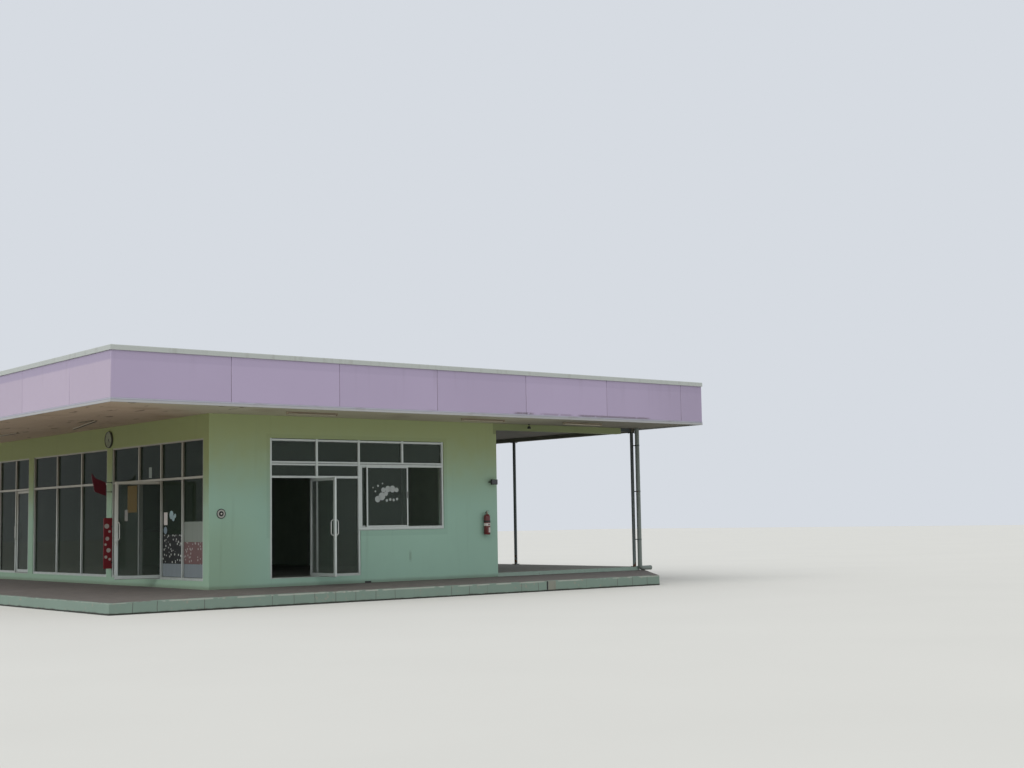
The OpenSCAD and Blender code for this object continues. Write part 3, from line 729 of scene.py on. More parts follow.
RUBBER = Enamel("gasket_rubber", srgb(30, 31, 31), roughness=0.6, wear=0.15)
PIPE = Enamel("grey_pipe", srgb(116, 124, 119), scuff=srgb(78, 80, 70), roughness=0.45, wear=0.5, run=0.25)
RED = Enamel("red_enamel", srgb(98, 30, 29), scuff=srgb(74, 36, 32), roughness=0.3, coat=0.4)
WHITE = Enamel("white_enamel", srgb(206, 204, 194), scuff=srgb(150, 142, 120), roughness=0.4)
BATTEN = Enamel("batten_enamel", srgb(150, 138, 118), scuff=srgb(110, 98, 80), roughness=0.5)
DARK = Enamel("dark_fixture", srgb(40, 42, 40), scuff=srgb(72, 70, 62), roughness=0.5)
BRASS = Enamel("valve_metal", srgb(120, 112, 92), roughness=0.3, metallic=0.7)
OLIVE = Enamel("clock_rim", srgb(58, 58, 44), roughness=0.35, coat=0.3)
DIAL = Enamel("clock_dial", srgb(120, 124, 98), scuff=srgb(92, 94, 68), roughness=0.5)
PALE_GREY = Enamel("plate_ring", srgb(168, 170, 162), roughness=0.4)
TUBE = Enamel("lamp_tube", srgb(170, 160, 140), roughness=0.2, coat=0.5, wear=0.1)
LENS = Enamel("lamp_lens", srgb(50, 54, 54), roughness=0.15, coat=0.4, wear=0.1)
SIGN_RED = Enamel("sign_red", srgb(136, 40, 48), scuff=srgb(110, 48, 48), roughness=0.4, wear=0.4)
MAROON = Enamel("sign_maroon", srgb(100, 22, 36), scuff=srgb(84, 34, 40), roughness=0.4, wear=0.4)
SIGN_WHITE = Enamel("sign_white", srgb(204, 196, 190), roughness=0.4)
ORANGE = Enamel("orange_sheet", srgb(150, 115, 42), scuff=srgb(124, 98, 52), roughness=0.7)
PALE_FILM = GlassFilm("pale_film", srgb(126, 134, 124))
FROST = GlassFilm("frosted_film", srgb(119, 128, 132), alpha=0.94)
CLOUD = GlassFilm("cloud_film", srgb(176, 182, 180), alpha=0.94)
DOTTED = GlassFilm("dotted_film", srgb(12, 15, 14), srgb(196, 198, 192))
ROSE_DOTS = GlassFilm("rose_dotted_film", srgb(106, 76, 74), srgb(160, 154, 150))
BLUE_GREY = Enamel("blue_grey_film", srgb(118, 132, 142), roughness=0.4)
CYAN = Enamel("pale_cyan_film", srgb(150, 172, 176), roughness=0.4)


@cache
def dress(finish: object) -> bpy.types.Material:
    """The one material of a finish."""
    return finish.material()


# Meshes


class Shape:
    """Faces that are gathered in the walls' frame and built as one joined mesh."""

    def __init__(self) -> None:
        """Starts without faces."""
        self.corners: list[Vector] = []
        self.faces: list[list[int]] = []
        self.finishes: list[object] = []
        self.finish_of: list[int] = []
        self.tones: list[float] = []
        self.rounded: list[bool] = []

    def add(self, corners: Sequence[Corner], faces: Sequence[Sequence[int]], finish: object,
            tone: float = 0.5, rounded: bool = False, turn: Matrix | None = None) -> None:
        """Adds faces.

        Args:
            corners: their corners.
            faces: places in that list, counter-clockwise from outside.
            finish: their finish.
            tone: how dark or light this stretch is among its like, around 0.5.
            rounded: whether they shade as one curved surface.
            turn: moves the corners into the walls' frame, mirrored or not.
        """
        if finish not in self.finishes:
            self.finishes.append(finish)
        start = len(self.corners)
        self.corners += [turn @ Vector(c) if turn else Vector(c) for c in corners]
        step = -1 if turn and turn.determinant() < 0 else 1
        self.faces += [[start + i for i in face][::step] for face in faces]
        self.finish_of += [self.finishes.index(finish)] * len(faces)
        self.tones += [tone] * len(faces)
        self.rounded += [rounded] * len(faces)

    def box(self, low: Corner, high: Corner, finish: object, chamfer: float = 0.002, tone: float = 0.5,
            turn: Matrix | None = None) -> None:
        """Adds a block with chamfered edges between two opposite corners."""
        low, high = [min(p) for p in zip(low, high)], [max(p) for p in zip(low, high)]
        chamfer = min(chamfer, min(b - a for a, b in zip(low, high)) * 0.3)
        ends = [(i & 1, i >> 1 & 1, i >> 2 & 1) for i in range(8)]

        def place(end: Sequence[int], axis: int) -> int:
            """The number of the corner next to an end of the block, along an axis."""
            return 3 * (end[0] + 2 * end[1] + 4 * end[2]) + axis

        corners = [
            [(high if end[k] else low)[k] + (0 if k == axis else chamfer * (1 - 2 * end[k]))
             for k in range(3)]
            for end in ends for axis in range(3)
        ]
        faces = []
        for axis in range(3):
            a, b = (axis + 1) % 3, (axis + 2) % 3
            for side in (0, 1):
                loop = [[0, 0, 0] for _ in range(4)]
                for end, (u, v) in zip(loop, ((0, 0), (1, 0), (1, 1), (0, 1))):
                    end[axis], end[a], end[b] = side, u, v
                faces.append([place(end, axis) for end in loop])
            for u, v in ((0, 0), (0, 1), (1, 0), (1, 1)):
                near = [0, 0, 0]
                near[a], near[b] = u, v
                far = list(near)
                far[axis] = 1
                faces.append([place(near, a), place(far, a), place(far, b), place(near, b)])
        faces += [[place(end, axis) for axis in range(3)] for end in ends]
        self.add(corners, outwards(corners, faces), finish, tone, turn=turn)

    def slab(self, outline: Sequence[Span], foot: float, top: Callable[[float, float], float],
             finish: object, chamfer: float = 0.005, tone: float = 0.5) -> None:
        """Adds a convex slab whose top follows a height, with a chamfer round it."""
        inner = inset(outline, chamfer)
        rings = [
            [(x, y, foot) for x, y in outline],
            [(x, y, top(x, y) - chamfer) for x, y in outline],
            [(x, y, top(x, y)) for x, y in inner],
        ]
        self.add(sum(rings, []), ring_faces(len(rings), len(outline)), finish, tone)

    def plate(self, outline: Sequence[Span], front: float, back: float, finish: object,
              turn: Matrix | None = None) -> None:
        """Adds a flat plate of any outline, drawn in X and Z, between two places along Y."""
        count = len(outline)
        corners = [(x, y, z) for y in (front, back) for x, z in outline]
        faces = [[i, (i + 1) % count, count + (i + 1) % count, count + i][::-1] for i in range(count)]
        faces += [list(range(count)), [count + i for i in range(count)][::-1]]
        self.add(corners, faces, finish, turn=turn)

    def lathe(self, profile: Sequence[Span], finish: object, turn: Matrix, steps: int = 40,
              arc: Span = (0.0, 360.0)) -> None:
        """Adds a turned form.

        Args:
            profile: radius and height of each ring, from the foot outwards and up.
            finish: its finish.
            turn: moves its foot and axis into place.
            steps: faces round a full turn.
            arc: the part of the turn that is made, in degrees.
        """
        closed = arc[1] - arc[0] >= 360.0
        count = steps if closed else max(2, round(steps * (arc[1] - arc[0]) / 360)) + 1
        angles = [math.radians(arc[0] + (arc[1] - arc[0]) * i / (count if closed else count - 1))
                  for i in range(count)]
        corners = [(r * math.cos(a), r * math.sin(a), h) for r, h in profile for a in angles]
        faces = []
        for ring in range(len(profile) - 1):
            for i in range(count if closed else count - 1):
                j = (i + 1) % count
                loop = [ring * count + i, ring * count + j, (ring + 1) * count + j, (ring + 1) * count + i]
                if profile[ring][0] == 0:
                    loop = loop[1:]
                elif profile[ring + 1][0] == 0:
                    loop = loop[:3]
                faces.append(loop)
        self.add(corners, faces, finish, rounded=True, turn=turn)

    def disc(self, r: float, t: float, finish: object, turn: Matrix, steps: int = 36) -> None:
        """Adds a closed disc of a radius and a thickness."""
        self.lathe([(0.0, 0.0), (r, 0.0), (r, t), (0.0, t)], finish, turn, steps)

    def tube(self, path: Sequence[Vector], radius: float, finish: object, steps: int = 16,
             turn: Matrix | None = None) -> None:
        """Adds a round tube along a path, with flat ends."""
        side = (path[1] - path[0]).orthogonal().normalized()
        corners = []
        for i, point in enumerate(path):
            ahead = (path[min(i + 1, len(path) - 1)] - path[max(i - 1, 0)]).normalized()
            side = (side - ahead * side.dot(ahead)).normalized()
            other = ahead.cross(side)
            corners += [point + radius * (side * math.cos(t) + other * math.sin(t))
                        for t in (2 * math.pi * k / steps for k in range(steps))]
        self.add(corners, ring_faces(len(path), steps), finish, rounded=True, turn=turn)

    def hoop(self, low: Corner, high: Corner, profile: Sequence[Span], finish: object) -> None:
        """Adds a closed profile swept round a rectangle, from points of place outwards and height."""
        corners = [
            (x, y, z) for out, z in profile for x, y in (
                (low[0] - out, low[1] - out), (high[0] + out, low[1] - out),
                (high[0] + out, high[1] + out), (low[0] - out, high[1] + out))
        ]
        count = len(profile)
        faces = []
        for r in range(count):
            here, there = 4 * r, 4 * ((r + 1) % count)
            faces += [[here + i, there + i, there + (i + 1) % 4, here + (i + 1) % 4] for i in range(4)]
        self.add(corners, faces, finish)

    def build(self, name: str, slot: str, body: str = "building", replaces: Sequence[str] = ()) -> None:
        """Makes the piece.

        Args:
            name: its name.
            slot: not used.
            body: the CAD body that carries it.
            replaces: the CAD nodes that it stands for.
        """
        mesh = bpy.data.meshes.new(name)
        mesh.from_pydata([corner + HOME for corner in self.corners], [], self.faces)
        for finish in self.finishes:
            mesh.materials.append(dress(finish))
        mesh.polygons.foreach_set("material_index", self.finish_of)
        mesh.polygons.foreach_set("use_smooth", self.rounded)
        mesh.attributes.new("tone", "FLOAT", "FACE").data.foreach_set("value", self.tones)
        mesh.set_sharp_from_angle(angle=SHARP_EDGE)
        mesh.update()
        piece = bpy.data.objects.new(name, mesh)
        bpy.context.scene.collection.objects.link(piece)
        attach(piece, body)
        if replaces:
            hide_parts(*replaces)
        LOG.info("%s: %d faces on %s", name, len(mesh.polygons), body)


def ring_faces(rings: int, count: int) -> list[list[int]]:
    """The faces between rings of as many corners each, and one at either end."""
    faces = []
    for foot in range(0, (rings - 1) * count, count):
        for i in range(count):
            after = (i + 1) % count
            faces.append([foot + i, foot + after, foot + count + after, foot + count + i])
    last = (rings - 1) * count
    return faces + [list(range(count))[::-1], list(range(last, last + count))]


def outwards(corners: Sequence[Corner], faces: Sequence[Sequence[int]]) -> list[list[int]]:
    """The faces of a convex form, each turned to face away from its middle."""
    points = [Vector(corner) for corner in corners]
    middle = sum(points, Vector()) / len(points)
    turned = []
    for face in faces:
        a, b, c = (points[i] for i in face[:3])
        away = (b - a).cross(c - b).dot(a - middle)
        turned.append(list(face) if away > 0 else list(face)[::-1])
    return turned


def inset(outline: Sequence[Span], distance: float) -> list[Span]:
    """A counter-clockwise convex outline drawn in by a distance on all its sides."""
    drawn = []
    for before, here, after in zip([outline[-1], *outline[:-1]], outline, [*outline[1:], outline[0]]):
        a, p, b = Vector(before), Vector(here), Vector(after)
        first, second = (p - a).normalized(), (b - p).normalized()
        normals = Vector((-first.y, first.x)), Vector((-second.y, second.x))
        middle = normals[0] + normals[1]
        drawn.append(tuple(p + middle * (distance * 2 / middle.length_squared)))
    return drawn


def cuts(start: float, end: float, first: float, pitch: float, least: float = 0.05) -> list[Span]:
    """The stretches between start and end that joints at first, first + pitch and so on leave."""
    places = [start]
    place = first
    while place < end - least:
        if place > start + least:
            places.append(place)
        place += pitch
    return list(zip(places, [*places[1:], end]))


def spun(degrees: float, axis: str) -> Matrix:
    """A turn by an angle round an axis."""
    return Matrix.Rotation(math.radians(degrees), 4, axis)


def upright_turn(x: float, y: float, z: float, towards: str = "up") -> Matrix:
    """Puts a turned form's foot at a place, with its axis up, down, or out to the front, back or left."""
    turns = {"up": (0.0, "X"), "down": (180.0, "X"), "front": (90.0, "X"), "back": (-90.0, "X"),
             "left": (-90.0, "Y")}
    return Matrix.Translation((x, y, z)) @ spun(*turns[towards])


def face_turn(x: float, y: float, z: float, face: int) -> Matrix:
    """Puts a turned form's foot on a face that looks to the front, -1, or to the back, 1."""
    return upright_turn(x, y, z, "front" if face < 0 else "back")


class Side(Enum):
    """The walls with glazing. Each turns places along it, inwards and up into the walls' frame."""

    FRONT = "front"
    LEFT = "left"
    BACK = "back"

    @property
    def turn(self) -> Matrix:
        """The matrix of this wall."""
        rows = {
            Side.FRONT: ((1, 0, 0, 0), (0, 1, 0, 0)),
            Side.LEFT: ((0, 1, 0, 0), (1, 0, 0, 0)),
            Side.BACK: ((1, 0, 0, 0), (0, -1, 0, WALLS_DEPTH)),
        }[self]
        return Matrix((*rows, (0, 0, 1, 0), (0, 0, 0, 1)))


# Roof


@dataclass
class Roof:
    """Cladding, cap, trim, soffit and covering of the flat roof."""

    panel_w: float = 2.4
    first_front: float = -0.634
    first_side: float = -0.258
    joint: float = 0.008
    panel_t: float = 0.02
    chamfer: float = 0.003
    trim_first: float = 0.01
    cap_first: float = 0.9
    cap_w: float = 0.164
    strap_w: float = 0.07
    strap_t: float = 0.0014
    board: Span = (1.2, 2.4)
    board_joint: float = 0.003
    sheet_w: float = 1.0
    sheet_t: float = 0.004
    lap_w: float = 0.04
    lap_t: float = 0.005
    upstand_t: float = 0.012
    upstand_h: float = 0.22
    outlet_in: Span = (0.3, 0.35)
    parapet_t: float = 0.1

    def __post_init__(self) -> None:
        """Seeds the tones of the panels and reads the roof's outline."""
        self.draw = random.Random(11)
        self.low, self.high = cad("fascia_front_back")

    def tone(self) -> float:
        """A tone between 0 and 1."""
        return self.draw.random()

    def cladding(self) -> None:
        """Lilac panels with open joints, in place of the fascia boards."""
        shape, gap, t = Shape(), self.joint / 2, self.panel_t
        z0, z1 = self.low.z, self.high.z
        for a, b in cuts(self.low.x, self.high.x, self.first_front, self.panel_w):
            left, right = a + gap * (a > self.low.x), b - gap * (b < self.high.x)
            for y in (self.low.y, self.high.y - t):
                shape.box((left, y, z0), (right, y + t, z1), LILAC, self.chamfer, self.tone())
        start, end = self.low.y + t, self.high.y - t
        for a, b in cuts(start, end, self.first_side, self.panel_w):
            near, far = a + gap, b - gap
            for x in (self.low.x, self.high.x - t):
                shape.box((x, near, z0), (x + t, far, z1), LILAC, self.chamfer, self.tone())
        shape.build("fascia_panels", "lilac_panel", replaces=("fascia_front_back", "fascia_sides"))

    def straps(self, shape: Shape, edge: tuple[Vector, Vector], first: Span, half: float,
               parts: Sequence[tuple[Span, Span, float]], finish: object) -> None:
        """Lap straps, a panel's width apart, along all four edges.

        Args:
            shape: gathers them.
            edge: lowest and highest corner of what they lie on.
            first: places of the first ones along X and along Y.
            half: half their width.
            parts: depths in from the edge, heights and chamfer of each part of one.
            finish: their finish.
        """
        low, high = edge
        for axis in (0, 1):
            for _, place in cuts(low[axis], high[axis], first[axis], self.panel_w)[:-1]:
                for outer, inwards in ((low[1 - axis], 1), (high[1 - axis], -1)):
                    for depth, z, chamfer in parts:
                        near, far = (outer + inwards * way for way in depth)
                        ends = [(place - half, near), (place + half, far)]
                        start, end = ends if axis == 0 else [point[::-1] for point in ends]
                        shape.box((*start, z[0]), (*end, z[1]), finish, chamfer, self.tone())

    def cap(self) -> None:
        """Folded cap with drip edges and lap straps, in place of the plain ring."""
        shape = Shape()
        low, high = cad("roof_cap")
        z0, z1, w, d = low.z, high.z, self.cap_w, self.strap_t
        profile = [
            (-d, z0), (-d, z1 - 0.012), (-0.01, z1 - d), (d - w + 0.006, z1 - 0.01), (d - w, z1 - 0.016),
            (d - w, z0), (0.004 - w, z0), (0.006 - w, z0 + 0.01), (0.018 - w, z0 + 0.01), (0.021 - w, z0),
            (-0.021, z0), (-0.019, z0 + 0.01), (-0.007, z0 + 0.01), (-0.005, z0),
        ]
        shape.hoop(low, high, profile[::-1], CAP)
        upright = (0.0, 0.004), (z0 + 0.002, z1 - 0.011), 0.0005
        across = (0.01, w - 0.01), (z1 - 0.012, z1), 0.001
        first = (self.cap_first, self.cap_first)
        self.straps(shape, (low, high), first, self.strap_w / 2, (upright, across), CAP)
        shape.build("roof_cap_folded", "grey_trim", replaces=("roof_cap",))

    def trim(self) -> None:
        """Trim of two bands with lap straps along the foot of the fascia."""
        shape = Shape()
        low, high = cad("trim_front_back")
        z0, z1, d = low.z, high.z, self.strap_t
        profile = [
            (-d, z0 + 0.003), (-d, z0 + 0.043), (-0.007, z0 + 0.045), (-0.007, z0 + 0.049),
            (-0.003, z0 + 0.051), (-0.003, z1 - 0.006), (-0.008, z1), (-0.028, z1), (-0.028, z0 + 0.003),
            (-0.024, z0), (-0.004, z0),
        ]
        shape.hoop(low, high, profile[::-1], TRIM)
        strap = (0.0, 0.006), (z0 + 0.003, z0 + 0.044), 0.0005
        self.straps(shape, (low, high), (self.trim_first, self.first_side), self.strap_w / 3, (strap,), TRIM)
        shape.build("fascia_trim", "grey_trim", replaces=("trim_front_back", "trim_sides"))

    def soffit(self) -> None:
        """Soffit boards with narrow joints, laid out from the walls."""
        shape = Shape()
        low, high = cad("soffit_front_back")
        left, bay = cad("soffit_left"), cad("soffit_bay")
        beam_end = cad("bay_beams")[1].x
        front, back, wall_t = left[0].y, left[1].y, 0.2
        fields = [
            ((low.x, low.y), (high.x, front)), ((low.x, back), (high.x, high.y)),
            ((low.x, front), (left[1].x, back)), ((bay[0].x, bay[0].y), (high.x, bay[1].y)),
            ((beam_end, front), (high.x, front + wall_t)), ((beam_end, back - wall_t), (high.x, back)),
        ]
        gap = self.board_joint / 2
        for (x0, y0), (x1, y1) in fields:
            long_x = x1 - x0 > y1 - y0
            pitch = self.board[::-1] if long_x else self.board
            for a, b in cuts(x0, x1, x0 + pitch[0] * 0.75, pitch[0], 0.12):
                for c, d in cuts(y0, y1, y0 + pitch[1], pitch[1], 0.12):
                    corners = (a + gap, c + gap, low.z), (b - gap, d - gap, high.z)
                    shape.box(*corners, SOFFIT, 0.002, self.tone())
        shape.build("soffit_boards", "soffit_board",
                    replaces=("soffit_front_back", "soffit_left", "soffit_bay"))

    def covering(self) -> None:
        """Roofing sheets with laps, an upstand against the parapet and an outlet."""
        shape = Shape()
        slab_top = cad("roof_slab")[1].z
        edge = self.panel_t + self.parapet_t
        x0, x1 = self.low.x + edge, self.high.x - edge
        y0, y1 = self.low.y + edge, self.high.y - edge
        for number, (a, b) in enumerate(cuts(y0, y1, y0 + self.sheet_w, self.sheet_w)):
            lap, top = 0.0, slab_top + self.sheet_t
            if number % 2:
                lap, top = self.lap_w, top + self.lap_t
            start, end = max(y0, a - lap), min(y1, b + lap)
            shape.box((x0, start, slab_top), (x1, end, top), SHEET, 0.002, self.tone())
        t = self.upstand_t
        for low, high in (((x0, y0), (x1, y0 + t)), ((x0, y1 - t), (x1, y1)),
                          ((x0, y0), (x0 + t, y1)), ((x1 - t, y0), (x1, y1))):
            shape.box((*low, slab_top), (*high, slab_top + self.upstand_h), SHEET, 0.004, self.tone())
        outlet = upright_turn(x1 - self.outlet_in[0], y0 + self.outlet_in[1], slab_top + 2 * self.sheet_t)
        shape.lathe([(0.0, 0.0), (0.11, 0.0), (0.11, 0.006), (0.06, 0.012), (0.055, 0.03), (0.05, 0.06),
                     (0.03, 0.075), (0.0, 0.08)], DARK, outlet)
        shape.build("roof_sheets", "dark_fixture")


# Glazing


def bays(limits: Span, middles: Sequence[float], bar: float) -> list[Span]:
    """The clear bays between bars, of which the outer two stand inside the frame's limits."""
    lefts = [limits[0] + bar, *(m + bar / 2 for m in middles)]
    rights = [*(m - bar / 2 for m in middles), limits[1] - bar]
    return list(zip(lefts, rights))


def ring_bars(s: Span, z: Span, w: float) -> list[tuple[Span, Span]]:
    """Four bars round the inside of an opening, of which the upright ones run its full height."""
    lying = [((s[0] + w, s[1] - w), bar) for bar in ((z[0], z[0] + w), (z[1] - w, z[1]))]
    return lying + [(bar, z) for bar in ((s[0], s[0] + w), (s[1] - w, s[1]))]


@dataclass
class Glazing:
    """One wall's frames, with a bead and a gasket round every light."""

    side: Side
    bar: float = 0.05
    near: float = 0.015
    far: float = 0.105
    curb: float = 0.165
    door_head: Span = (2.25, 2.295)
    sill_top: float = 0.182
    ridges: int = 9
    bead_w: float = 0.006
    gasket_w: float = 0.009
    bead_d: float = 0.02
    groove: float = 0.01
    chamfer: float = 0.0025

    def __post_init__(self) -> None:
        """Starts the mesh of this wall."""
        self.shape = Shape()
        self.upper_top = FRAME_HEAD - self.bar

    def rail(self, s: Span, z: Span, depth: Span | None = None, finish: object = ALUMINIUM) -> None:
        """A bar between two places along the wall and two heights."""
        v = depth or (self.near, self.far)
        self.shape.box((s[0], v[0], z[0]), (s[1], v[1], z[1]), finish, self.chamfer, turn=self.side.turn)

    def upright(self, s: float, z: Span) -> None:
        """An upright bar from its left face."""
        self.rail((s, s + self.bar), z)

    def ring(self, s: Span, z: Span, v: Span, w: float, finish: object) -> None:
        """Four bars of a width and a depth round the inside of an opening."""
        for bar in ring_bars(s, z, w):
            self.rail(*bar, v, finish)

    def light(self, s: Span, z: Span) -> None:
        """Bead and gasket on both faces of one pane."""
        for face, out in zip(GLASS_FACES, (-1, 1)):
            self.ring(s, z, (face, face + out * 0.003), self.gasket_w, RUBBER)
            self.ring(s, z, (face + out * 0.003, face + out * self.bead_d), self.bead_w, ALUMINIUM)

    def seam(self, s: Span, z: Span) -> None:
        """A dark joint that lies back between two bars."""
        self.rail(s, z, (self.near + 0.012, self.far - 0.012), RUBBER)

    def outer_sill(self, s: Span) -> None:
        """A flat sill that stands out below a window."""
        self.rail((s[0] - 0.02, s[1] + 0.02), (WINDOW_SILL - 0.012, WINDOW_SILL), (-0.012, 0.012))

    def threshold(self, s: Span) -> None:
        """A ridged threshold under a door."""
        self.rail(s, (self.curb, self.sill_top - 0.003))
        for i in range(self.ridges):
            v = self.near + 0.006 + i * (self.far - self.near - 0.016) / (self.ridges - 1)
            self.rail(s, (self.sill_top - 0.004, self.sill_top), (v, v + 0.004))


@dataclass
class FrontGlazing(Glazing):
    """The front wall: door bay, fixed bay, wide window with two sliding sashes, and lights above."""

    side: Side = Side.FRONT
    limits: Span = (1.4, 5.862)
    mullions: tuple[float, float, float] = (2.541, 3.6, 4.7435)
    transom: Span = (2.52, 2.6)
    sash_bar: float = 0.038
    sash_w: float = 1.1
    sash_t: float = 0.026
    sash_shift: float = 0.122
    lips: tuple[float, ...] = (0.018, 0.0545, 0.063, 0.0985)
    lip_t: float = 0.003
    pull_z: Span = (1.82, 1.96)

    def frames(self) -> None:
        """Bars, thresholds and glazed lights of the front."""
        door, window, middle = self.mullions
        half = self.bar / 2
        self.upright(self.limits[0], (self.curb, FRAME_HEAD))
        for s in (door, window):
            self.upright(s - half, (self.curb, FRAME_HEAD))
        self.upright(middle - half, (self.transom[1], FRAME_HEAD))
        self.upright(self.limits[1] - self.bar, (WINDOW_SILL, FRAME_HEAD))
        self.upright(window + half, (WINDOW_SILL + self.bar, self.transom[0]))
        lower = bays(self.limits, (door, window), self.bar)
        for s in bays(self.limits, self.mullions, self.bar):
            self.rail(s, (self.upper_top, FRAME_HEAD - self.groove))
            self.seam(s, (FRAME_HEAD - self.groove, FRAME_HEAD))
            self.light(s, (self.transom[1], self.upper_top))
        seam = (sum(self.transom) - self.groove) / 2
        for s in lower:
            self.rail(s, (self.transom[0], seam))
            self.seam(s, (seam, seam + self.groove))
            self.rail(s, (seam + self.groove, self.transom[1]))
        for s in lower[:2]:
            self.rail(s, self.door_head)
            self.light(s, (self.door_head[1], self.transom[0]))
        self.threshold(lower[0])
        self.rail(lower[1], (self.curb, self.curb + self.bar))
        self.light(lower[1], (self.curb + self.bar, self.door_head[0]))
        self.rail(lower[2], (WINDOW_SILL, WINDOW_SILL + self.bar))
        self.tracks(lower[2])
        self.shape.build("front_frames", "aluminium", replaces=("front_frame_uprights", "front_frame_rails"))

    def tracks(self, s: Span) -> None:
        """Guide lips of the two sash tracks, and the outer sill."""
        sill = WINDOW_SILL + self.bar
        inside = (s[0] + self.bar, s[1])
        for v in self.lips:
            self.rail(inside, (sill, sill + 0.012), (v, v + self.lip_t))
            self.rail(inside, (self.transom[0] - 0.016, self.transom[0]), (v, v + self.lip_t))
        self.outer_sill(s)

    def sashes(self) -> None:
        """The two sliding sashes, both at the left, with finger pulls."""
        self.shape = Shape()
        start = self.mullions[1] + self.bar * 1.5
        step = (self.far - self.near) / 2
        z = (WINDOW_SILL + self.bar, self.transom[0])
        w = self.sash_bar
        for place, v0 in ((start + self.sash_shift, self.near), (start, self.near + step)):
            v0 += (step - self.sash_t) / 2
            v = (v0, v0 + self.sash_t)
            for s in ((place, place + w), (place + self.sash_w - w, place + self.sash_w)):
                self.rail(s, z, v)
            for z_bar in ((z[0], z[0] + w), (z[1] - w, z[1])):
                self.rail((place + w, place + self.sash_w - w), z_bar, v)
            inside = (place + w, place + self.sash_w - w), (z[0] + w, z[1] - w)
            self.ring(*inside, (v0 + 0.004, v0 + self.sash_t - 0.004), 0.005, RUBBER)
            pull = place + self.sash_w - w * 0.75
            self.rail((pull, pull + w * 0.5), self.pull_z, (v0 - 0.0035, v0), DARK)
        self.shape.build("sliding_sashes", "aluminium", replaces=("window_sashes",))


@dataclass
class SideGlazing(Glazing):
    """The three storefronts of the side wall, two of which have a door bay."""

    side: Side = Side.LEFT
    stores: tuple[Span, ...] = ((0.245, 4.685), (4.95, 9.397), (9.704, 14.055))
    mullions: tuple[tuple[float, ...], ...] = (
        (1.223, 2.223, 3.311), (6.432, 7.914), (10.63, 11.772, 12.914))
    lap: float = 0.025
    doors: tuple[tuple[int, int], ...] = ((0, 2), (2, 0))

    def frames(self) -> None:
        """Bars, thresholds and glazed lights of the side."""
        for store, (limits, mullions) in enumerate(zip(self.stores, self.mullions)):
            self.upright(limits[0], (self.curb, FRAME_HEAD))
            self.rail(limits, (FRAME_HEAD - self.lap, FRAME_HEAD), (0.0, self.near), MINT)
            for bay, s in enumerate(bays(limits, mullions, self.bar)):
                self.upright(s[1], (self.curb, FRAME_HEAD))
                self.rail(s, (self.upper_top, FRAME_HEAD))
                self.rail(s, self.door_head)
                self.light(s, (self.door_head[1], self.upper_top))
                if (store, bay) in self.doors:
                    self.threshold(s)
                else:
                    self.rail(s, (self.curb, self.curb + self.bar))
                    self.light(s, (self.curb + self.bar, self.door_head[0]))
        self.shape.build("side_frames", "aluminium", replaces=("side_frame_uprights", "side_frame_rails"))


@dataclass
class BackGlazing(Glazing):
    """The plain two-light window of the back wall."""

    side: Side = Side.BACK
    limits: Span = (3.6, 5.862)
    middle: float = 4.7435

    def frames(self) -> None:
        """Bars and glazed lights of the back window."""
        for s in (self.limits[0], self.middle - self.bar / 2, self.limits[1] - self.bar):
            self.upright(s, (WINDOW_SILL, FRAME_HEAD))
        for s in bays(self.limits, (self.middle,), self.bar):
            self.rail(s, (WINDOW_SILL, WINDOW_SILL + self.bar))
            self.rail(s, (self.upper_top, FRAME_HEAD))
            self.light(s, (WINDOW_SILL + self.bar, self.upper_top))
        self.outer_sill(self.limits)
        self.shape.build("back_frame", "aluminium", replaces=("back_window_frame",))


# Doors


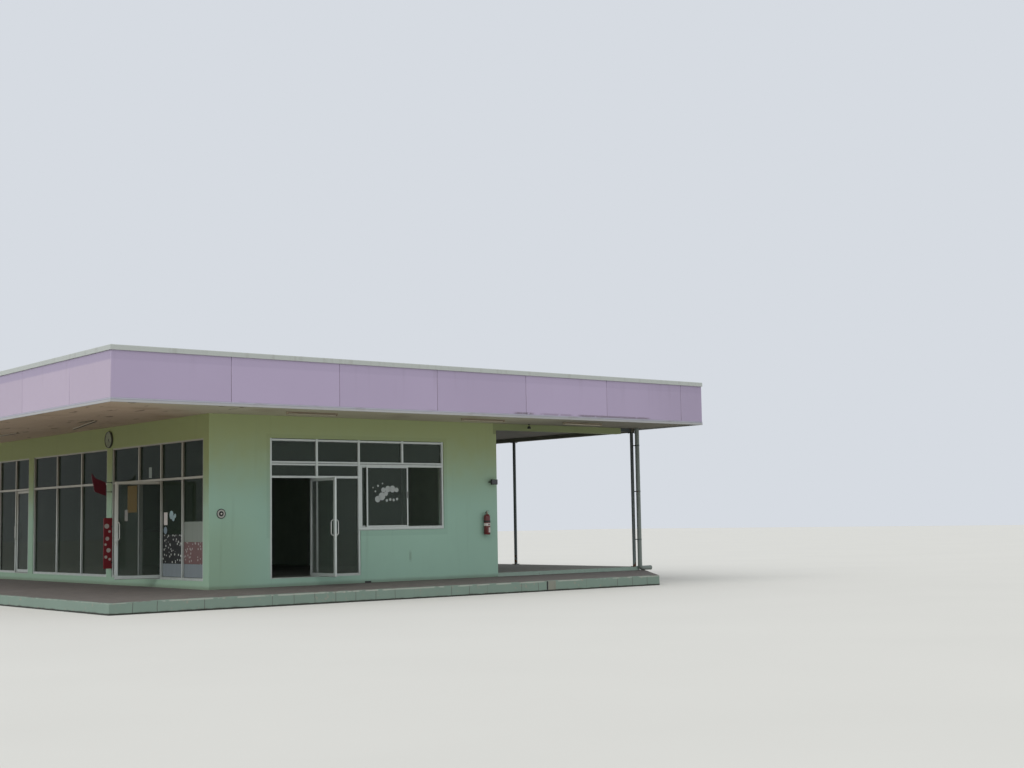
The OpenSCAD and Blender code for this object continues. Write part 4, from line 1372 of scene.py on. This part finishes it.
@dataclass
class DoorLeaf:
    """A glazed leaf on floor and head pivots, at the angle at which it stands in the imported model."""

    name: str
    side: Side
    pivot: float
    hand: int
    angle: float
    clear: float
    handle_l: float
    lock: float | None = None
    middle: float = 0.06
    inset: float = 0.07
    gap: float = 0.009
    leaf_t: float = 0.042
    z: Span = (0.191, 2.241)
    stile: float = 0.066
    top_rail: float = 0.057
    bottom_rail: float = 0.065
    handle_in: float = 0.046
    lean: float = 0.0
    handle_z: float = 1.2
    handle_r: float = 0.009
    handle_reach: float = 0.072
    pin_r: float = 0.01
    plates_z: tuple[Span, Span] = ((0.1795, 0.1822), (2.2494, 2.2525))

    def __post_init__(self) -> None:
        """Works out the leaf's own frame and its reach from the pivot."""
        mirrored = Matrix.Scale(self.hand, 4, (1, 0, 0))
        turned = spun(-self.angle, "Z")
        self.turn = self.side.turn @ Matrix.Translation((self.pivot, self.middle, 0)) @ mirrored @ turned
        self.heel = self.gap - self.inset
        self.toe = self.clear - self.inset - self.gap

    def leaf(self) -> None:
        """Stiles, rails, beads, a weather brush and the lock."""
        shape, t = Shape(), self.leaf_t / 2

        def bar(r: Span, z: Span, v: Span = (-t, t), finish: object = ALUMINIUM,
                chamfer: float = 0.003) -> None:
            """A bar between two places from the pivot and two heights."""
            shape.box((r[0], v[0], z[0]), (r[1], v[1], z[1]), finish, chamfer, turn=self.turn)

        inner_r = (self.heel + self.stile, self.toe - self.stile)
        inner_z = (self.z[0] + self.bottom_rail, self.z[1] - self.top_rail)
        bar((self.heel, inner_r[0]), self.z)
        bar((inner_r[1], self.toe), self.z)
        bar(inner_r, (self.z[0], inner_z[0]))
        bar(inner_r, (inner_z[1], self.z[1]))
        for out in (-1, 1):
            for w, v, finish in ((0.008, (0.003, 0.006), RUBBER), (0.005, (0.006, 0.017), ALUMINIUM)):
                for r, z in ring_bars(inner_r, inner_z, w):
                    bar(r, z, (out * v[0], out * v[1]), finish, 0.002)
            if self.lock is not None:
                self.cylinder(shape, out)
        foot = (self.z[0] - 0.005, self.z[0] + 0.001)
        bar((self.heel + 0.01, self.toe - 0.01), foot, (-0.006, 0.006), RUBBER)
        shape.build(f"{self.name}_leaf_glazed", "aluminium", self.name, (f"{self.name}_leaf",))

    def cylinder(self, shape: Shape, out: int) -> None:
        """A round lock cylinder on one face of the far stile."""
        turn = self.turn @ face_turn(self.toe - self.stile / 2, out * self.leaf_t / 2, self.lock, out)
        shape.lathe([(0.022, 0.0), (0.022, 0.003), (0.019, 0.006), (0.013, 0.007), (0.012, 0.012),
                     (0.0, 0.013)], HANDLE, turn, 28)

    def fittings(self) -> None:
        """Pull handles with bent ends on both faces, their roses, and the pivot pins."""
        shape = Shape()
        r, bend = self.handle_r, self.handle_reach - 2 * self.handle_r
        place = self.toe - self.handle_in
        half = self.handle_l / 2 - r
        reach = self.handle_reach - r
        lean = math.radians(self.lean)

        def point(face: int, out: float, z: float) -> Vector:
            """A point of the grip, by its way out from the leaf and its height from the middle."""
            return Vector((place - out * math.sin(lean), face * (self.leaf_t / 2 + out * math.cos(lean)),
                           self.handle_z + z))

        for face in (-1, 1):
            path = [point(face, 0.0, -half)]
            for low in (-1, 1):
                arc = [math.radians(a) for a in range(0, 91, 10)][::-low]
                path += [
                    point(face, reach - bend + bend * math.sin(a), low * (half - bend + bend * math.cos(a)))
                    for a in arc
                ]
            path.append(point(face, 0.0, half))
            shape.tube(path, r, HANDLE, turn=self.turn)
            for z in (self.handle_z - half, self.handle_z + half):
                turn = self.turn @ face_turn(place, face * self.leaf_t / 2, z, face)
                shape.lathe([(0.017, 0.0), (0.017, 0.003), (0.014, 0.006), (0.009, 0.0065)], HANDLE, turn, 28)
        for z in (self.z[0] - self.gap + 0.0003, self.z[1]):
            pin = self.turn @ Matrix.Translation((0, 0, z))
            shape.disc(self.pin_r, self.gap - 0.0008, HANDLE, pin, 24)
        shape.build(f"{self.name}_handles", "handle_steel", self.name, (f"{self.name}_fittings",))

    def plates(self, shape: Shape) -> None:
        """A cover plate in the threshold round the pivot, and one on the head rail above."""
        across = self.side.turn @ Matrix.Translation((self.pivot, self.middle, 0))
        for z in self.plates_z:
            shape.box((-0.06, -0.03, z[0]), (0.06, 0.03, z[1]), HANDLE, 0.0008, turn=across)


# Apron and bay


@dataclass
class Apron:
    """Raised walkway in slabs, which falls to its edges from the walls."""

    slope: float = 0.043 / 2.128
    foot: float = -GROUND_DEPTH
    left: float = -3.034
    front: float = -2.128
    corner: float = 10.5
    right: float = 12.077
    strip: float = 11.904
    joints_x: tuple[float, ...] = (0.0, 2.4, 4.75, 7.1, 9.45)
    gap_x: Span = (7.055, 7.095)
    gap_z: Span = (-0.235, -0.05)
    pitch: float = 2.4
    chamfer: float = 0.006

    def height(self, x: float, y: float) -> float:
        """Height of the top, which falls along the nearer way out from the walls."""
        return -self.slope * max(-x, -y, 0.0)

    def slabs(self) -> None:
        """All slabs and the open joint in their front face, in place of the plain platforms."""
        shape, draw = Shape(), random.Random(5)
        hip = (self.front, self.front)
        cells = [
            [(0.0, 0.0), hip, (0.0, self.front)],
            [(0.0, 0.0), (self.left, 0.0), (self.left, self.front), hip],
        ]
        for x0, x1 in zip(self.joints_x, self.joints_x[1:]):
            cells.append([(x0, self.front), (x1, self.front), (x1, 0.0), (x0, 0.0)])
        last = self.joints_x[-1]
        cells.append([(last, self.front), (self.corner, self.front), (self.right, 0.0), (last, 0.0)])
        for y0, y1 in cuts(0.0, WALLS_DEPTH, self.pitch, self.pitch):
            cells.append([(self.left, y0), (0.0, y0), (0.0, y1), (self.left, y1)])
            cells.append([(self.strip, y0), (self.right, y0), (self.right, y1), (self.strip, y1)])
        for cell in cells:
            shape.slab(cell, self.foot, self.height, APRON, self.chamfer, draw.random())
        (x0, x1), (z0, z1) = self.gap_x, self.gap_z
        shape.box((x0, self.front - 0.0006, z0), (x1, self.front + 0.004, z1), RUBBER, 0.0)
        shape.build("apron_slabs", "concrete", replaces=("platform_front", "platform_sides"))


@dataclass
class OpenBay:
    """Steel of the open bay and the rainwater pipe beside its front post."""

    post_x: float = 11.8
    posts_y: tuple[float, ...] = (0.07, 4.79, 9.51, 14.23)
    post_r: float = 0.042
    floor: float = 0.085
    beam_z: float = 3.447
    plate: float = 0.07
    plate_t: float = 0.012
    weld: tuple[Span, ...] = ((0.006, -0.001), (0.004, 0.004), (-0.001, 0.007))
    bolt: tuple[Span, ...] = (
        (0.009, 0.0), (0.009, 0.007), (0.007, 0.009), (0.004, 0.009), (0.004, 0.014), (0.0, 0.015))
    bolt_in: float = 0.056
    stub_w: float = 0.08
    splice_y: Span = (0.5, 0.66)
    pipe: Span = (11.856, -0.07)
    pipe_r: float = 0.056
    bend: float = 0.08
    sockets_z: Span = (2.3, 0.155)
    clamps_z: tuple[float, ...] = (0.75, 1.95, 3.1)
    shoe: float = 12.224

    def steel(self) -> None:
        """Round posts on bolted plates, the edge beam with its splices, and the stubs."""
        shape = Shape()
        top = self.beam_z - self.floor
        for y in self.posts_y:
            shape.lathe([(self.post_r, self.plate_t), (self.post_r, top - self.plate_t)], STEEL,
                        upright_turn(self.post_x, y, self.floor), 56)
            for z, towards in ((self.floor, "up"), (self.beam_z, "down")):
                base = upright_turn(self.post_x, y, z, towards)
                half, t = self.plate, self.plate_t
                shape.box((-half, -half, 0.0), (half, half, t), STEEL, 0.002, turn=base)
                shape.lathe([(self.post_r + out, t + up) for out, up in self.weld], STEEL, base, 40)
                for i, j in ((-1, -1), (1, -1), (1, 1), (-1, 1)):
                    bolt = base @ Matrix.Translation((i * self.bolt_in, j * self.bolt_in, t))
                    shape.lathe(self.bolt, STEEL, bolt, 6)
        low, high = cad("bay_edge_beam")
        shape.box(low, high, BEAM, 0.006)
        for y in self.posts_y[1:-1]:
            for x in (low.x - 0.004, high.x):
                start, end = (y + offset for offset in self.splice_y)
                shape.box((x, start, low.z + 0.015), (x + 0.004, end, high.z - 0.015), BEAM, 0.001)
        low, high = cad("bay_beam_stubs")
        for y in (low.y, high.y - self.stub_w):
            far = y + self.stub_w
            shape.box((low.x, y, low.z), (high.x, far, high.z), STEEL, 0.004)
            shape.box((low.x, y - 0.02, low.z - 0.02), (low.x + 0.01, far + 0.02, high.z), STEEL, 0.002)
        shape.build("bay_steel", "painted_steel", replaces=("bay_posts", "bay_edge_beam", "bay_beam_stubs"))

    def rainwater(self) -> None:
        """Pipe with sockets, clamps to the post and an open shoe that lies on the apron."""
        shape = Shape()
        x, y, r = *self.pipe, self.pipe_r
        bend = self.bend
        path = [Vector((x, y, z)) for z in (SOFFIT_Z - 0.002, 0.5, r + bend)]
        path += [Vector((x + bend - bend * math.cos(a), y, r + bend - bend * math.sin(a)))
                 for a in (math.radians(d) for d in range(10, 91, 10))]
        path += [Vector((x + 0.2, y, r)), Vector((self.shoe - 0.03, y, r))]
        shape.tube(path, r - 0.002, PIPE, 40)
        socket = [(r - 0.003, 0.0), (r, 0.003), (r, 0.04), (r - 0.003, 0.043)]
        for z in (SOFFIT_Z - 0.045, *self.sockets_z):
            shape.lathe(socket, PIPE, upright_turn(x, y, z), 40)
        mouth = upright_turn(self.shoe, y, r, "left")
        shape.lathe([(0.0, 0.05), (r - 0.008, 0.05), (r - 0.007, 0.0)], RUBBER, mouth, 40)
        shape.lathe([(r - 0.007, 0.0), (r, 0.001), (r, 0.045), (r - 0.003, 0.05)], PIPE, mouth, 40)
        to_post = Vector((self.post_x - x, self.posts_y[0] - y, 0.0))
        angle, reach = math.atan2(to_post.y, to_post.x), to_post.length - self.post_r + 0.004
        for z in self.clamps_z:
            turn, outer = upright_turn(x, y, z), r + 0.003
            shape.lathe([(outer, 0.0), (outer, 0.03)], STEEL, turn, 40)
            shape.lathe([(outer, 0.0), (r - 0.002, 0.0)], STEEL, turn, 40)
            shape.lathe([(r - 0.002, 0.03), (outer, 0.03)], STEEL, turn, 40)
            arm = Matrix.Translation((x, y, z)) @ Matrix.Rotation(angle, 4, "Z")
            shape.box((r, -0.003, 0.003), (reach, 0.003, 0.027), STEEL, 0.001, turn=arm)
        shape.build("rainwater_pipe_socketed", "grey_pipe", replaces=("rainwater_pipe",))


# Fixtures


@dataclass
class Fixtures:
    """Small things on the walls and under the soffit."""

    clock: Span = (4.8175, 3.264)
    clock_r: float = 0.19
    hands: tuple[tuple[float, float, float], ...] = ((222.0, 0.085, 0.006), (170.0, 0.13, 0.0045))
    plate: Span = (0.272, 1.517)
    extinguisher: Corner = (7.01, -0.093, 0.974)
    floodlight: Span = (7.227, 2.18)
    lamp: Span = (8.27, -0.15)
    battens: tuple[tuple[float, float, int, float], ...] = (
        (1.15, -1.1, 0, 0.0), (5.56, -1.1, 0, 0.0), (8.51, -1.1, 0, 0.0), (-1.2, 2.78, 1, 5.0),
        (-1.2, 7.3, 1, 0.0))
    batten_l: float = 1.2
    pennant_y: float = 4.7
    pennant: tuple[Span, ...] = (
        (-0.467, 2.384), (-0.398, 2.084), (-0.133, 1.992), (-0.136, 2.291), (-0.382, 2.384),
        (-0.468, 2.495))
    rods_z: Span = (2.08, 2.29)
    banner_x: Span = (-0.205, -0.002)
    banner_y: float = 4.64
    banner_z: Span = (0.36, 1.493)
    clips_z: Span = (0.5, 1.3)
    banner_discs: tuple[tuple[float, float, float], ...] = (
        (-0.135, 1.31, 0.055), (-0.07, 1.19, 0.03), (-0.12, 1.03, 0.045), (-0.16, 0.9, 0.028),
        (-0.09, 0.77, 0.05), (-0.15, 0.62, 0.035), (-0.06, 0.57, 0.03))
    vent_x: Span = (3.72, 3.88)
    extinguisher_r: float = 0.075
    extinguisher_l: float = 0.47

    def wall_clock(self) -> None:
        """Round clock with a raised rim, plain marks and two hands."""
        shape, r = Shape(), self.clock_r
        turn = upright_turn(0.0, *self.clock, "left")
        rim = [(r - 0.006, 0.0), (r, 0.006), (r, 0.036), (r - 0.004, 0.045), (r - 0.012, 0.048),
               (r - 0.02, 0.043), (r - 0.023, 0.034)]
        shape.lathe([(0.0, 0.0), *rim], OLIVE, turn, 64)
        shape.lathe([(r - 0.023, 0.034), (r - 0.03, 0.032), (0.0, 0.032)], DIAL, turn, 64)
        for hour in range(12):
            mark = turn @ spun(30 * hour, "Z")
            outer, length = r - 0.042, 0.026 if hour % 3 == 0 else 0.014
            shape.box((outer - length, -0.004, 0.0315), (outer, 0.004, 0.0335), DARK, 0.0004, turn=mark)
        for angle, length, width in self.hands:
            hand = turn @ spun(angle, "Z")
            shape.box((-0.02, -width, 0.0345), (length, width, 0.0365), DARK, 0.0005, turn=hand)
        shape.lathe([(0.01, 0.033), (0.01, 0.0385), (0.007, 0.04), (0.0, 0.04)], DARK, turn, 24)
        shape.build("wall_clock_dial", "dark_fixture", replaces=("wall_clock",))

    def wall_plate(self) -> None:
        """Round plate with a dark rim, a pale ring and a dark boss."""
        shape = Shape()
        turn = upright_turn(self.plate[0], 0.0, self.plate[1], "front")
        shape.lathe([(0.096, 0.0), (0.1, 0.003), (0.1, 0.012), (0.096, 0.016), (0.086, 0.016),
                     (0.084, 0.012)], DARK, turn, 56)
        shape.lathe([(0.084, 0.012), (0.07, 0.015), (0.055, 0.014), (0.053, 0.011)], PALE_GREY, turn, 56)
        shape.lathe([(0.053, 0.011), (0.045, 0.016), (0.03, 0.019), (0.018, 0.0195)], DARK, turn, 48)
        shape.lathe([(0.018, 0.0195), (0.015, 0.0235), (0.0, 0.024)], WHITE, turn, 32)
        shape.build("wall_plate_ringed", "dark_fixture", replaces=("wall_plate",))

    def fire_extinguisher(self) -> None:
        """Cylinder with domed ends, a blank band and label, valve, levers, gauge, spout and wall strap."""
        shape = Shape()
        x, y, z = self.extinguisher
        r, length = self.extinguisher_r, self.extinguisher_l
        turn = upright_turn(x, y, z)
        body = [(0.0, 0.012), (0.05, 0.006), (0.062, 0.0), (0.07, 0.0), (r, 0.008), (r, length - 0.075)]
        body += [(0.018 + (r - 0.018) * math.cos(a), length - 0.075 + 0.075 * math.sin(a))
                 for a in (math.radians(d) for d in range(12, 91, 13))]
        body += [(0.018, length), (0.018, length + 0.02)]
        shape.lathe(body, RED, turn, 56)
        shape.lathe([(r + 0.0008, 0.2), (r + 0.0008, 0.262)], SIGN_WHITE, turn, 56)
        shape.lathe([(r + 0.0008, 0.05), (r + 0.0008, 0.165)], SIGN_WHITE, turn, 56, (262.0, 352.0))
        spot = face_turn(x, y - r, z + 0.231, -1)
        shape.lathe([(0.019, -0.006), (0.019, 0.0012), (0.0, 0.0015)], DARK, spot, 28)
        valve = (0.02, 0.012), (0.02, 0.03), (0.016, 0.034), (0.016, 0.062), (0.0, 0.064)
        shape.lathe([(out, length + up) for out, up in valve], BRASS, turn, 32)
        lever = turn @ Matrix.Translation((0, 0, length + 0.058))
        for tilt, lift in ((-12.0, 0.0), (6.0, 0.012)):
            arm = lever @ Matrix.Translation((-0.02, 0, lift)) @ spun(-tilt, "Y")
            shape.box((0.0, -0.011, 0.0), (0.075, 0.011, 0.005), DARK, 0.0015, turn=arm)
        gauge = turn @ face_turn(0.0, -0.016, length + 0.046, -1)
        shape.lathe([(0.006, 0.0), (0.006, 0.004), (0.014, 0.005), (0.014, 0.013), (0.012, 0.014)], BRASS,
                    gauge, 28)
        shape.lathe([(0.012, 0.014), (0.0, 0.0142)], SIGN_WHITE, gauge, 28)
        spout = (0.014, 0.046), (0.035, 0.044), (0.047, 0.03), (0.05, 0.0)
        shape.tube([Vector((x - out, y, z + length + up)) for out, up in spout], 0.0075, DARK, 16)
        strap = (0.0012, 0.282), (0.0026, 0.284), (0.0026, 0.32), (0.0012, 0.322)
        shape.lathe([(r + out, up) for out, up in strap], DARK, turn, 56)
        shape.box((x - 0.03, -0.019, z + 0.27), (x + 0.03, 0.0, z + 0.335), DARK, 0.003)
        shape.box((x - 0.018, -0.019, z + 0.04), (x + 0.018, 0.0, z + 0.09), DARK, 0.003)
        shape.build("fire_extinguisher_strapped", "red_enamel", replaces=("fire_extinguisher",))

    def wall_floodlight(self) -> None:
        """Floodlight with cooling fins, a glass front and a two-armed bracket."""
        shape = Shape()
        x, z = self.floodlight
        w, h = 0.09, 0.06
        for inner, near, far, finish, chamfer in (
                (0.0, -0.12, -0.085, DARK, 0.006), (0.004, -0.13, -0.12, DARK, 0.004),
                (0.014, -0.1312, -0.129, LENS, 0.0006)):
            low, high = (x - w + inner, near, z - h + inner), (x + w - inner, far, z + h - inner)
            shape.box(low, high, finish, chamfer)
        for i in range(9):
            fin = x - w + 0.014 + i * (2 * w - 0.032) / 8
            shape.box((fin, -0.087, z - h + 0.008), (fin + 0.004, -0.07, z + h - 0.008), DARK, 0.0008)
        for out in (-1, 1):
            inner, outer = x + out * w, x + out * (w + 0.004)
            shape.box((inner, -0.112, z - 0.012), (outer, -0.02, z + 0.012), DARK, 0.001)
        shape.box((x - w, -0.024, z - 0.012), (x + w, -0.02, z + 0.012), DARK, 0.001)
        shape.box((x - 0.03, -0.02, z - 0.03), (x + 0.03, 0.0, z + 0.03), DARK, 0.003)
        shape.build("floodlight_finned", "dark_fixture", replaces=("floodlight",))

    def batten_lights(self) -> None:
        """Battens with a tube in front, and at the side without one, with a painted shade strip underneath;
        one there hangs loose at its far end, beside a painted shadow strip on the soffit.
        """
        shape = Shape()
        for x, y, along_y, droop in self.battens:
            turn = upright_turn(x, y, SOFFIT_Z) @ spun(90 * along_y, "Z") @ spun(droop, "Y")
            length = self.batten_l
            shape.box((0.0, -0.026, -0.026), (length, 0.026, 0.0), BATTEN, 0.003, turn=turn)
            if along_y:
                # Painted shade: a dark strip on the underside of a side batten
                shape.box((0.0, -0.02, -0.03), (length, 0.02, -0.026), DARK, 0.001, turn=turn)
                if droop:
                    # Painted shadow of the loose batten: a dark strip on the soffit beside it
                    start, end = (x - 0.07, y + 0.04, SOFFIT_Z - 0.006), (x - 0.03, y + 0.77, SOFFIT_Z)
                    shape.box(start, end, OLIVE, 0.001)
                continue
            shape.box((0.05, -0.04, -0.029), (length - 0.05, 0.04, -0.026), BATTEN, 0.001, turn=turn)
            for end in (0.0, length - 0.022):
                shape.box((end, -0.018, -0.055), (end + 0.022, 0.018, -0.024), BATTEN, 0.003, turn=turn)
            tubes = ((0.02, length - 0.02, 0.0125, TUBE), (0.022, 0.022 + 0.018, 0.0129, BRASS),
                     (length - 0.04, length - 0.04 + 0.018, 0.0129, BRASS))
            for start, end, r, finish in tubes:
                shape.tube([turn @ Vector((place, 0, -0.042)) for place in (start, end)], r, finish, 20)
        shape.build("batten_lights", "white_enamel", replaces=("soffit_lights",))

    def hanging_lamp(self) -> None:
        """Small shade on a short rod, with its bulb."""
        shape = Shape()
        turn = upright_turn(*self.lamp, SOFFIT_Z, "down")
        shape.lathe([(0.028, 0.0), (0.026, 0.008), (0.009, 0.014), (0.007, 0.045)], DARK, turn, 32)
        shade = [(0.007, 0.045), (0.02, 0.048), (0.034, 0.06), (0.045, 0.1), (0.045, 0.105), (0.041, 0.105),
                 (0.03, 0.062), (0.0, 0.058)]
        shape.lathe(shade, DARK, turn, 40)
        bulb = [(0.012, 0.06), (0.026, 0.078), (0.026, 0.09), (0.014, 0.1), (0.0, 0.102)]
        shape.lathe(bulb, TUBE, turn, 32)
        shape.build("hanging_lamp_shaded", "dark_fixture", replaces=("hanging_lamp",))

    def signs(self) -> None:
        """A blank pennant and a red banner with pale discs, which stand out from the first side pier."""
        shape, y = Shape(), self.pennant_y
        shape.plate(self.pennant, y - 0.006, y + 0.006, MAROON)
        for z in self.rods_z:
            shape.tube([Vector((0.0, y, z)), Vector((-0.15, y, z))], 0.007, DARK, 14)
            shape.lathe([(0.0, 0.0), (0.022, 0.0), (0.022, 0.004), (0.01, 0.007)], DARK,
                        upright_turn(0.0, y, z, "left"), 24)
        y, (x0, x1), (z0, z1) = self.banner_y, self.banner_x, self.banner_z
        shape.box((x0, y - 0.008, z0), (x1, y + 0.008, z1), SIGN_RED, 0.004)
        for face in (-1, 1):
            for x, z, r in self.banner_discs:
                turn = face_turn(x, y + face * 0.0078, z, face)
                shape.lathe([(r, 0.0), (r, 0.0012), (0.0, 0.0014)], SIGN_WHITE, turn, 28)
        for z in self.clips_z:
            shape.box((-0.03, y - 0.012, z - 0.02), (0.0, y + 0.012, z + 0.02), DARK, 0.002)
        shape.build("pier_signs", "red_enamel")

    def wall_vent(self) -> None:
        """Small weep vent at the foot of the front wall."""
        shape = Shape()
        start, end = self.vent_x
        shape.box((start, -0.006, -0.004), (end, 0.0, 0.036), DARK, 0.002)
        for i in range(7):
            x = start + 0.012 + i * 0.021
            shape.box((x, -0.009, 0.002), (x + 0.008, -0.005, 0.03), RUBBER, 0.001)
        shape.build("wall_vent", "dark_fixture")


@dataclass
class Films:
    """Blank films, sheets and round stickers on the outer face of the glass."""

    t: float = 0.0009
    clear: float = 0.0001
    side_films: tuple[tuple[Span, Span, object], ...] = (
        ((0.297, 1.196), (0.954, 1.37), PALE_FILM),
        ((0.297, 1.196), (0.502, 0.952), ROSE_DOTS),
        ((0.297, 1.196), (0.229, 0.5), FROST),
        ((1.25, 2.196), (0.502, 1.107), DOTTED),
        ((1.25, 2.196), (0.229, 0.5), FROST),
        ((1.977, 2.144), (1.31, 1.577), SIGN_WHITE),
        ((3.95, 4.109), (1.417, 1.662), SIGN_WHITE),
        ((2.743, 2.887), (2.33, 2.56), PALE_FILM),
        ((3.48, 3.97), (1.6, 2.19), ORANGE),
    )
    seals: tuple[tuple[float, float, float, object], ...] = (
        (2.069, 1.198, 0.078, BLUE_GREY),
        (1.79, 1.52, 0.09, CYAN),
        (1.7, 1.45, 0.06, CYAN),
        (1.62, 1.5, 0.045, CYAN),
    )
    sash_face: float = 0.0345
    clouds: tuple[tuple[float, float, float], ...] = (
        (4.09, 1.8, 0.07), (4.2, 1.86, 0.085), (4.31, 1.92, 0.05),
        (4.24, 2.0, 0.055), (4.36, 2.02, 0.07), (4.48, 2.02, 0.075), (4.59, 2.0, 0.05),
        (4.03, 1.97, 0.02), (4.1, 2.09, 0.024), (3.97, 2.05, 0.016), (4.22, 2.14, 0.018),
        (4.33, 1.77, 0.03), (4.42, 1.79, 0.03), (4.51, 1.78, 0.03), (4.6, 1.8, 0.03),
    )

    def films(self) -> None:
        """All films, just clear of the glass."""
        shape = Shape()
        for s, z, finish in self.side_films:
            low, high = (s[0], GLASS_FACES[0] - self.t, z[0]), (s[1], GLASS_FACES[0] - self.clear, z[1])
            shape.box(low, high, finish, 0.0002, turn=Side.LEFT.turn)
        for y, z, r, finish in self.seals:
            shape.disc(r, self.t, finish, upright_turn(GLASS_FACES[0] - self.clear, y, z, "left"))
        for x, z, r in self.clouds:
            shape.disc(r, self.t, CLOUD, upright_turn(x, self.sash_face - self.clear, z, "front"))
        shape.build("glass_films", "white_enamel")


# Stage


@dataclass
class Studio:
    """Pale floor, soft light and the camera of the photograph."""

    camera_at: Corner = (-18.4765, -33.710, 1.539)
    lens: float = 51.91
    yaw: float = 38.954
    pitch: float = 5.31
    roll: float = -0.955
    floor: Colour = srgb(206, 204, 198)
    sky: Colour = srgb(214, 219, 226)
    light: Colour = (0.93, 0.97, 1.0, 1.0)
    light_strength: float = 0.72
    backdrop_strength: float = 1.0
    sun_strength: float = 1.9
    sun_angle: float = 60.0
    sun_elevation: float = 48.0
    sun_azimuth: float = -68.0
    floor_half: float = 150.0
    sensor: float = 36.0
    view_end: float = 500.0

    def stand(self) -> None:
        """The floor, which isn't part of the building."""
        p = Paint("studio_floor")
        material = p.surface(p.scaled(self.floor, 0.97 + p.noise(0.3, 3.0) * 0.06), 0.9)
        mesh = bpy.data.meshes.new("studio_floor")
        half = self.floor_half
        corners = [(-half, -half, 0), (half, -half, 0), (half, half, 0), (-half, half, 0)]
        mesh.from_pydata(corners, [], [(0, 1, 2, 3)])
        mesh.materials.append(material)
        floor = bpy.data.objects.new("studio_floor", mesh)
        bpy.context.scene.collection.objects.link(floor)

    def world(self) -> None:
        """Even light from all round, behind which camera, glossy and see-through rays find a pale sky."""
        world = bpy.data.worlds.new("studio_world")
        world.use_nodes = True
        bpy.context.scene.world = world
        n = Nodes(world.node_tree)
        paths = [n.node("ShaderNodeLightPath", out=out)
                 for out in ("Is Camera Ray", "Is Glossy Ray", "Is Transmission Ray")]
        seen = paths[0].most(paths[1]).most(paths[2])
        light = n.node("ShaderNodeBackground", inputs={"Color": self.light, "Strength": self.light_strength})
        sky = n.node("ShaderNodeBackground", inputs={"Color": self.sky, "Strength": self.backdrop_strength})
        both = n.node("ShaderNodeMixShader", inputs={0: seen, 1: light, 2: sky})
        n.node("ShaderNodeOutputWorld", inputs={"Surface": both})

    def lamp(self) -> None:
        """One broad sun from the left front, so soft that its shadows have no edge."""
        data = bpy.data.lights.new("soft_sun", "SUN")
        data.energy = self.sun_strength
        data.angle = math.radians(self.sun_angle)
        sun = bpy.data.objects.new("soft_sun", data)
        up, round_ = math.radians(self.sun_elevation), math.radians(self.sun_azimuth)
        towards = Vector((math.sin(round_) * math.cos(up), -math.cos(round_) * math.cos(up), math.sin(up)))
        sun.rotation_euler = towards.to_track_quat("Z", "Y").to_euler()
        bpy.context.scene.collection.objects.link(sun)

    def camera(self) -> None:
        """The camera at the photograph's place and angle."""
        data = bpy.data.cameras.new("photo_camera")
        data.lens, data.sensor_width, data.sensor_fit = self.lens, self.sensor, "HORIZONTAL"
        data.clip_end = self.view_end
        yaw, pitch, roll = (math.radians(a) for a in (self.yaw, self.pitch, self.roll))
        ahead = Vector((math.sin(yaw) * math.cos(pitch), math.cos(yaw) * math.cos(pitch), math.sin(pitch)))
        right = Vector((math.cos(yaw), -math.sin(yaw), 0.0))
        up = right.cross(ahead)
        across = right * math.cos(roll) + up * math.sin(roll)
        upward = up * math.cos(roll) - right * math.sin(roll)
        camera = bpy.data.objects.new("photo_camera", data)
        rows = Matrix((across, upward, -ahead)).transposed()
        camera.matrix_world = Matrix.Translation(self.camera_at) @ rows.to_4x4()
        bpy.context.scene.collection.objects.link(camera)
        bpy.context.scene.camera = camera

    def build(self) -> None:
        """Sets up the whole stage and the view."""
        self.camera()
        self.stand()
        self.world()
        self.lamp()
        bpy.context.scene.view_settings.view_transform = "Standard"


KEPT = {
    MINT: ("front_wall_left", "front_wall_right", "wall_below_window", "wall_lintels", "wall_curbs",
           "side_wall_piers", "right_wall", "back_wall_sides", "back_wall_bands", "bay_beams"),
    GLASS: ("front_glass",),
    BACK_GLASS: ("back_glass",),
    SIDE_GLASS: ("side_glass",),
    DOOR_GLASS: ("front_door_glass", "side_door_glass", "store_door_glass"),
    TILE: ("shop_floor",),
    BAY_CONCRETE: ("bay_floor",),
    ROOF_CONCRETE: ("roof_slab", "parapet"),
}


def dress_kept_nodes() -> None:
    """Gives the CAD nodes that stay as they are their finishes."""
    for finish, names in KEPT.items():
        for name in names:
            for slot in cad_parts[name].material_slots:
                slot.material = dress(finish)
            LOG.info("%s keeps its CAD shape", name)


def main() -> None:
    """Builds every sub-assembly in order."""
    logging.basicConfig(level=logging.INFO, format="%(name)s: %(message)s")
    Studio().build()
    dress_kept_nodes()
    roof = Roof()
    for part in (roof.cladding, roof.cap, roof.trim, roof.soffit, roof.covering):
        part()
    front = FrontGlazing()
    front.frames()
    front.sashes()
    SideGlazing().frames()
    BackGlazing().frames()
    doors = (
        DoorLeaf("front_door", Side.FRONT, 2.446, -1, 88.0, 1.066, 0.34, lock=0.945),
        DoorLeaf("side_door", Side.LEFT, 2.318, 1, 77.0, 1.038, 0.4, lock=0.916, lean=42.0),
        DoorLeaf("store_door", Side.LEFT, 9.824, 1, 0.0, 0.851, 0.4),
    )
    plates = Shape()
    for door in doors:
        door.leaf()
        door.fittings()
        door.plates(plates)
    plates.build("pivot_plates", "handle_steel")
    Apron().slabs()
    bay = OpenBay()
    bay.steel()
    bay.rainwater()
    fixtures = Fixtures()
    for part in (fixtures.wall_clock, fixtures.wall_plate, fixtures.fire_extinguisher,
                 fixtures.wall_floodlight, fixtures.batten_lights, fixtures.hanging_lamp, fixtures.signs,
                 fixtures.wall_vent):
        part()
    Films().films()


if __name__ == "__main__":
    main()
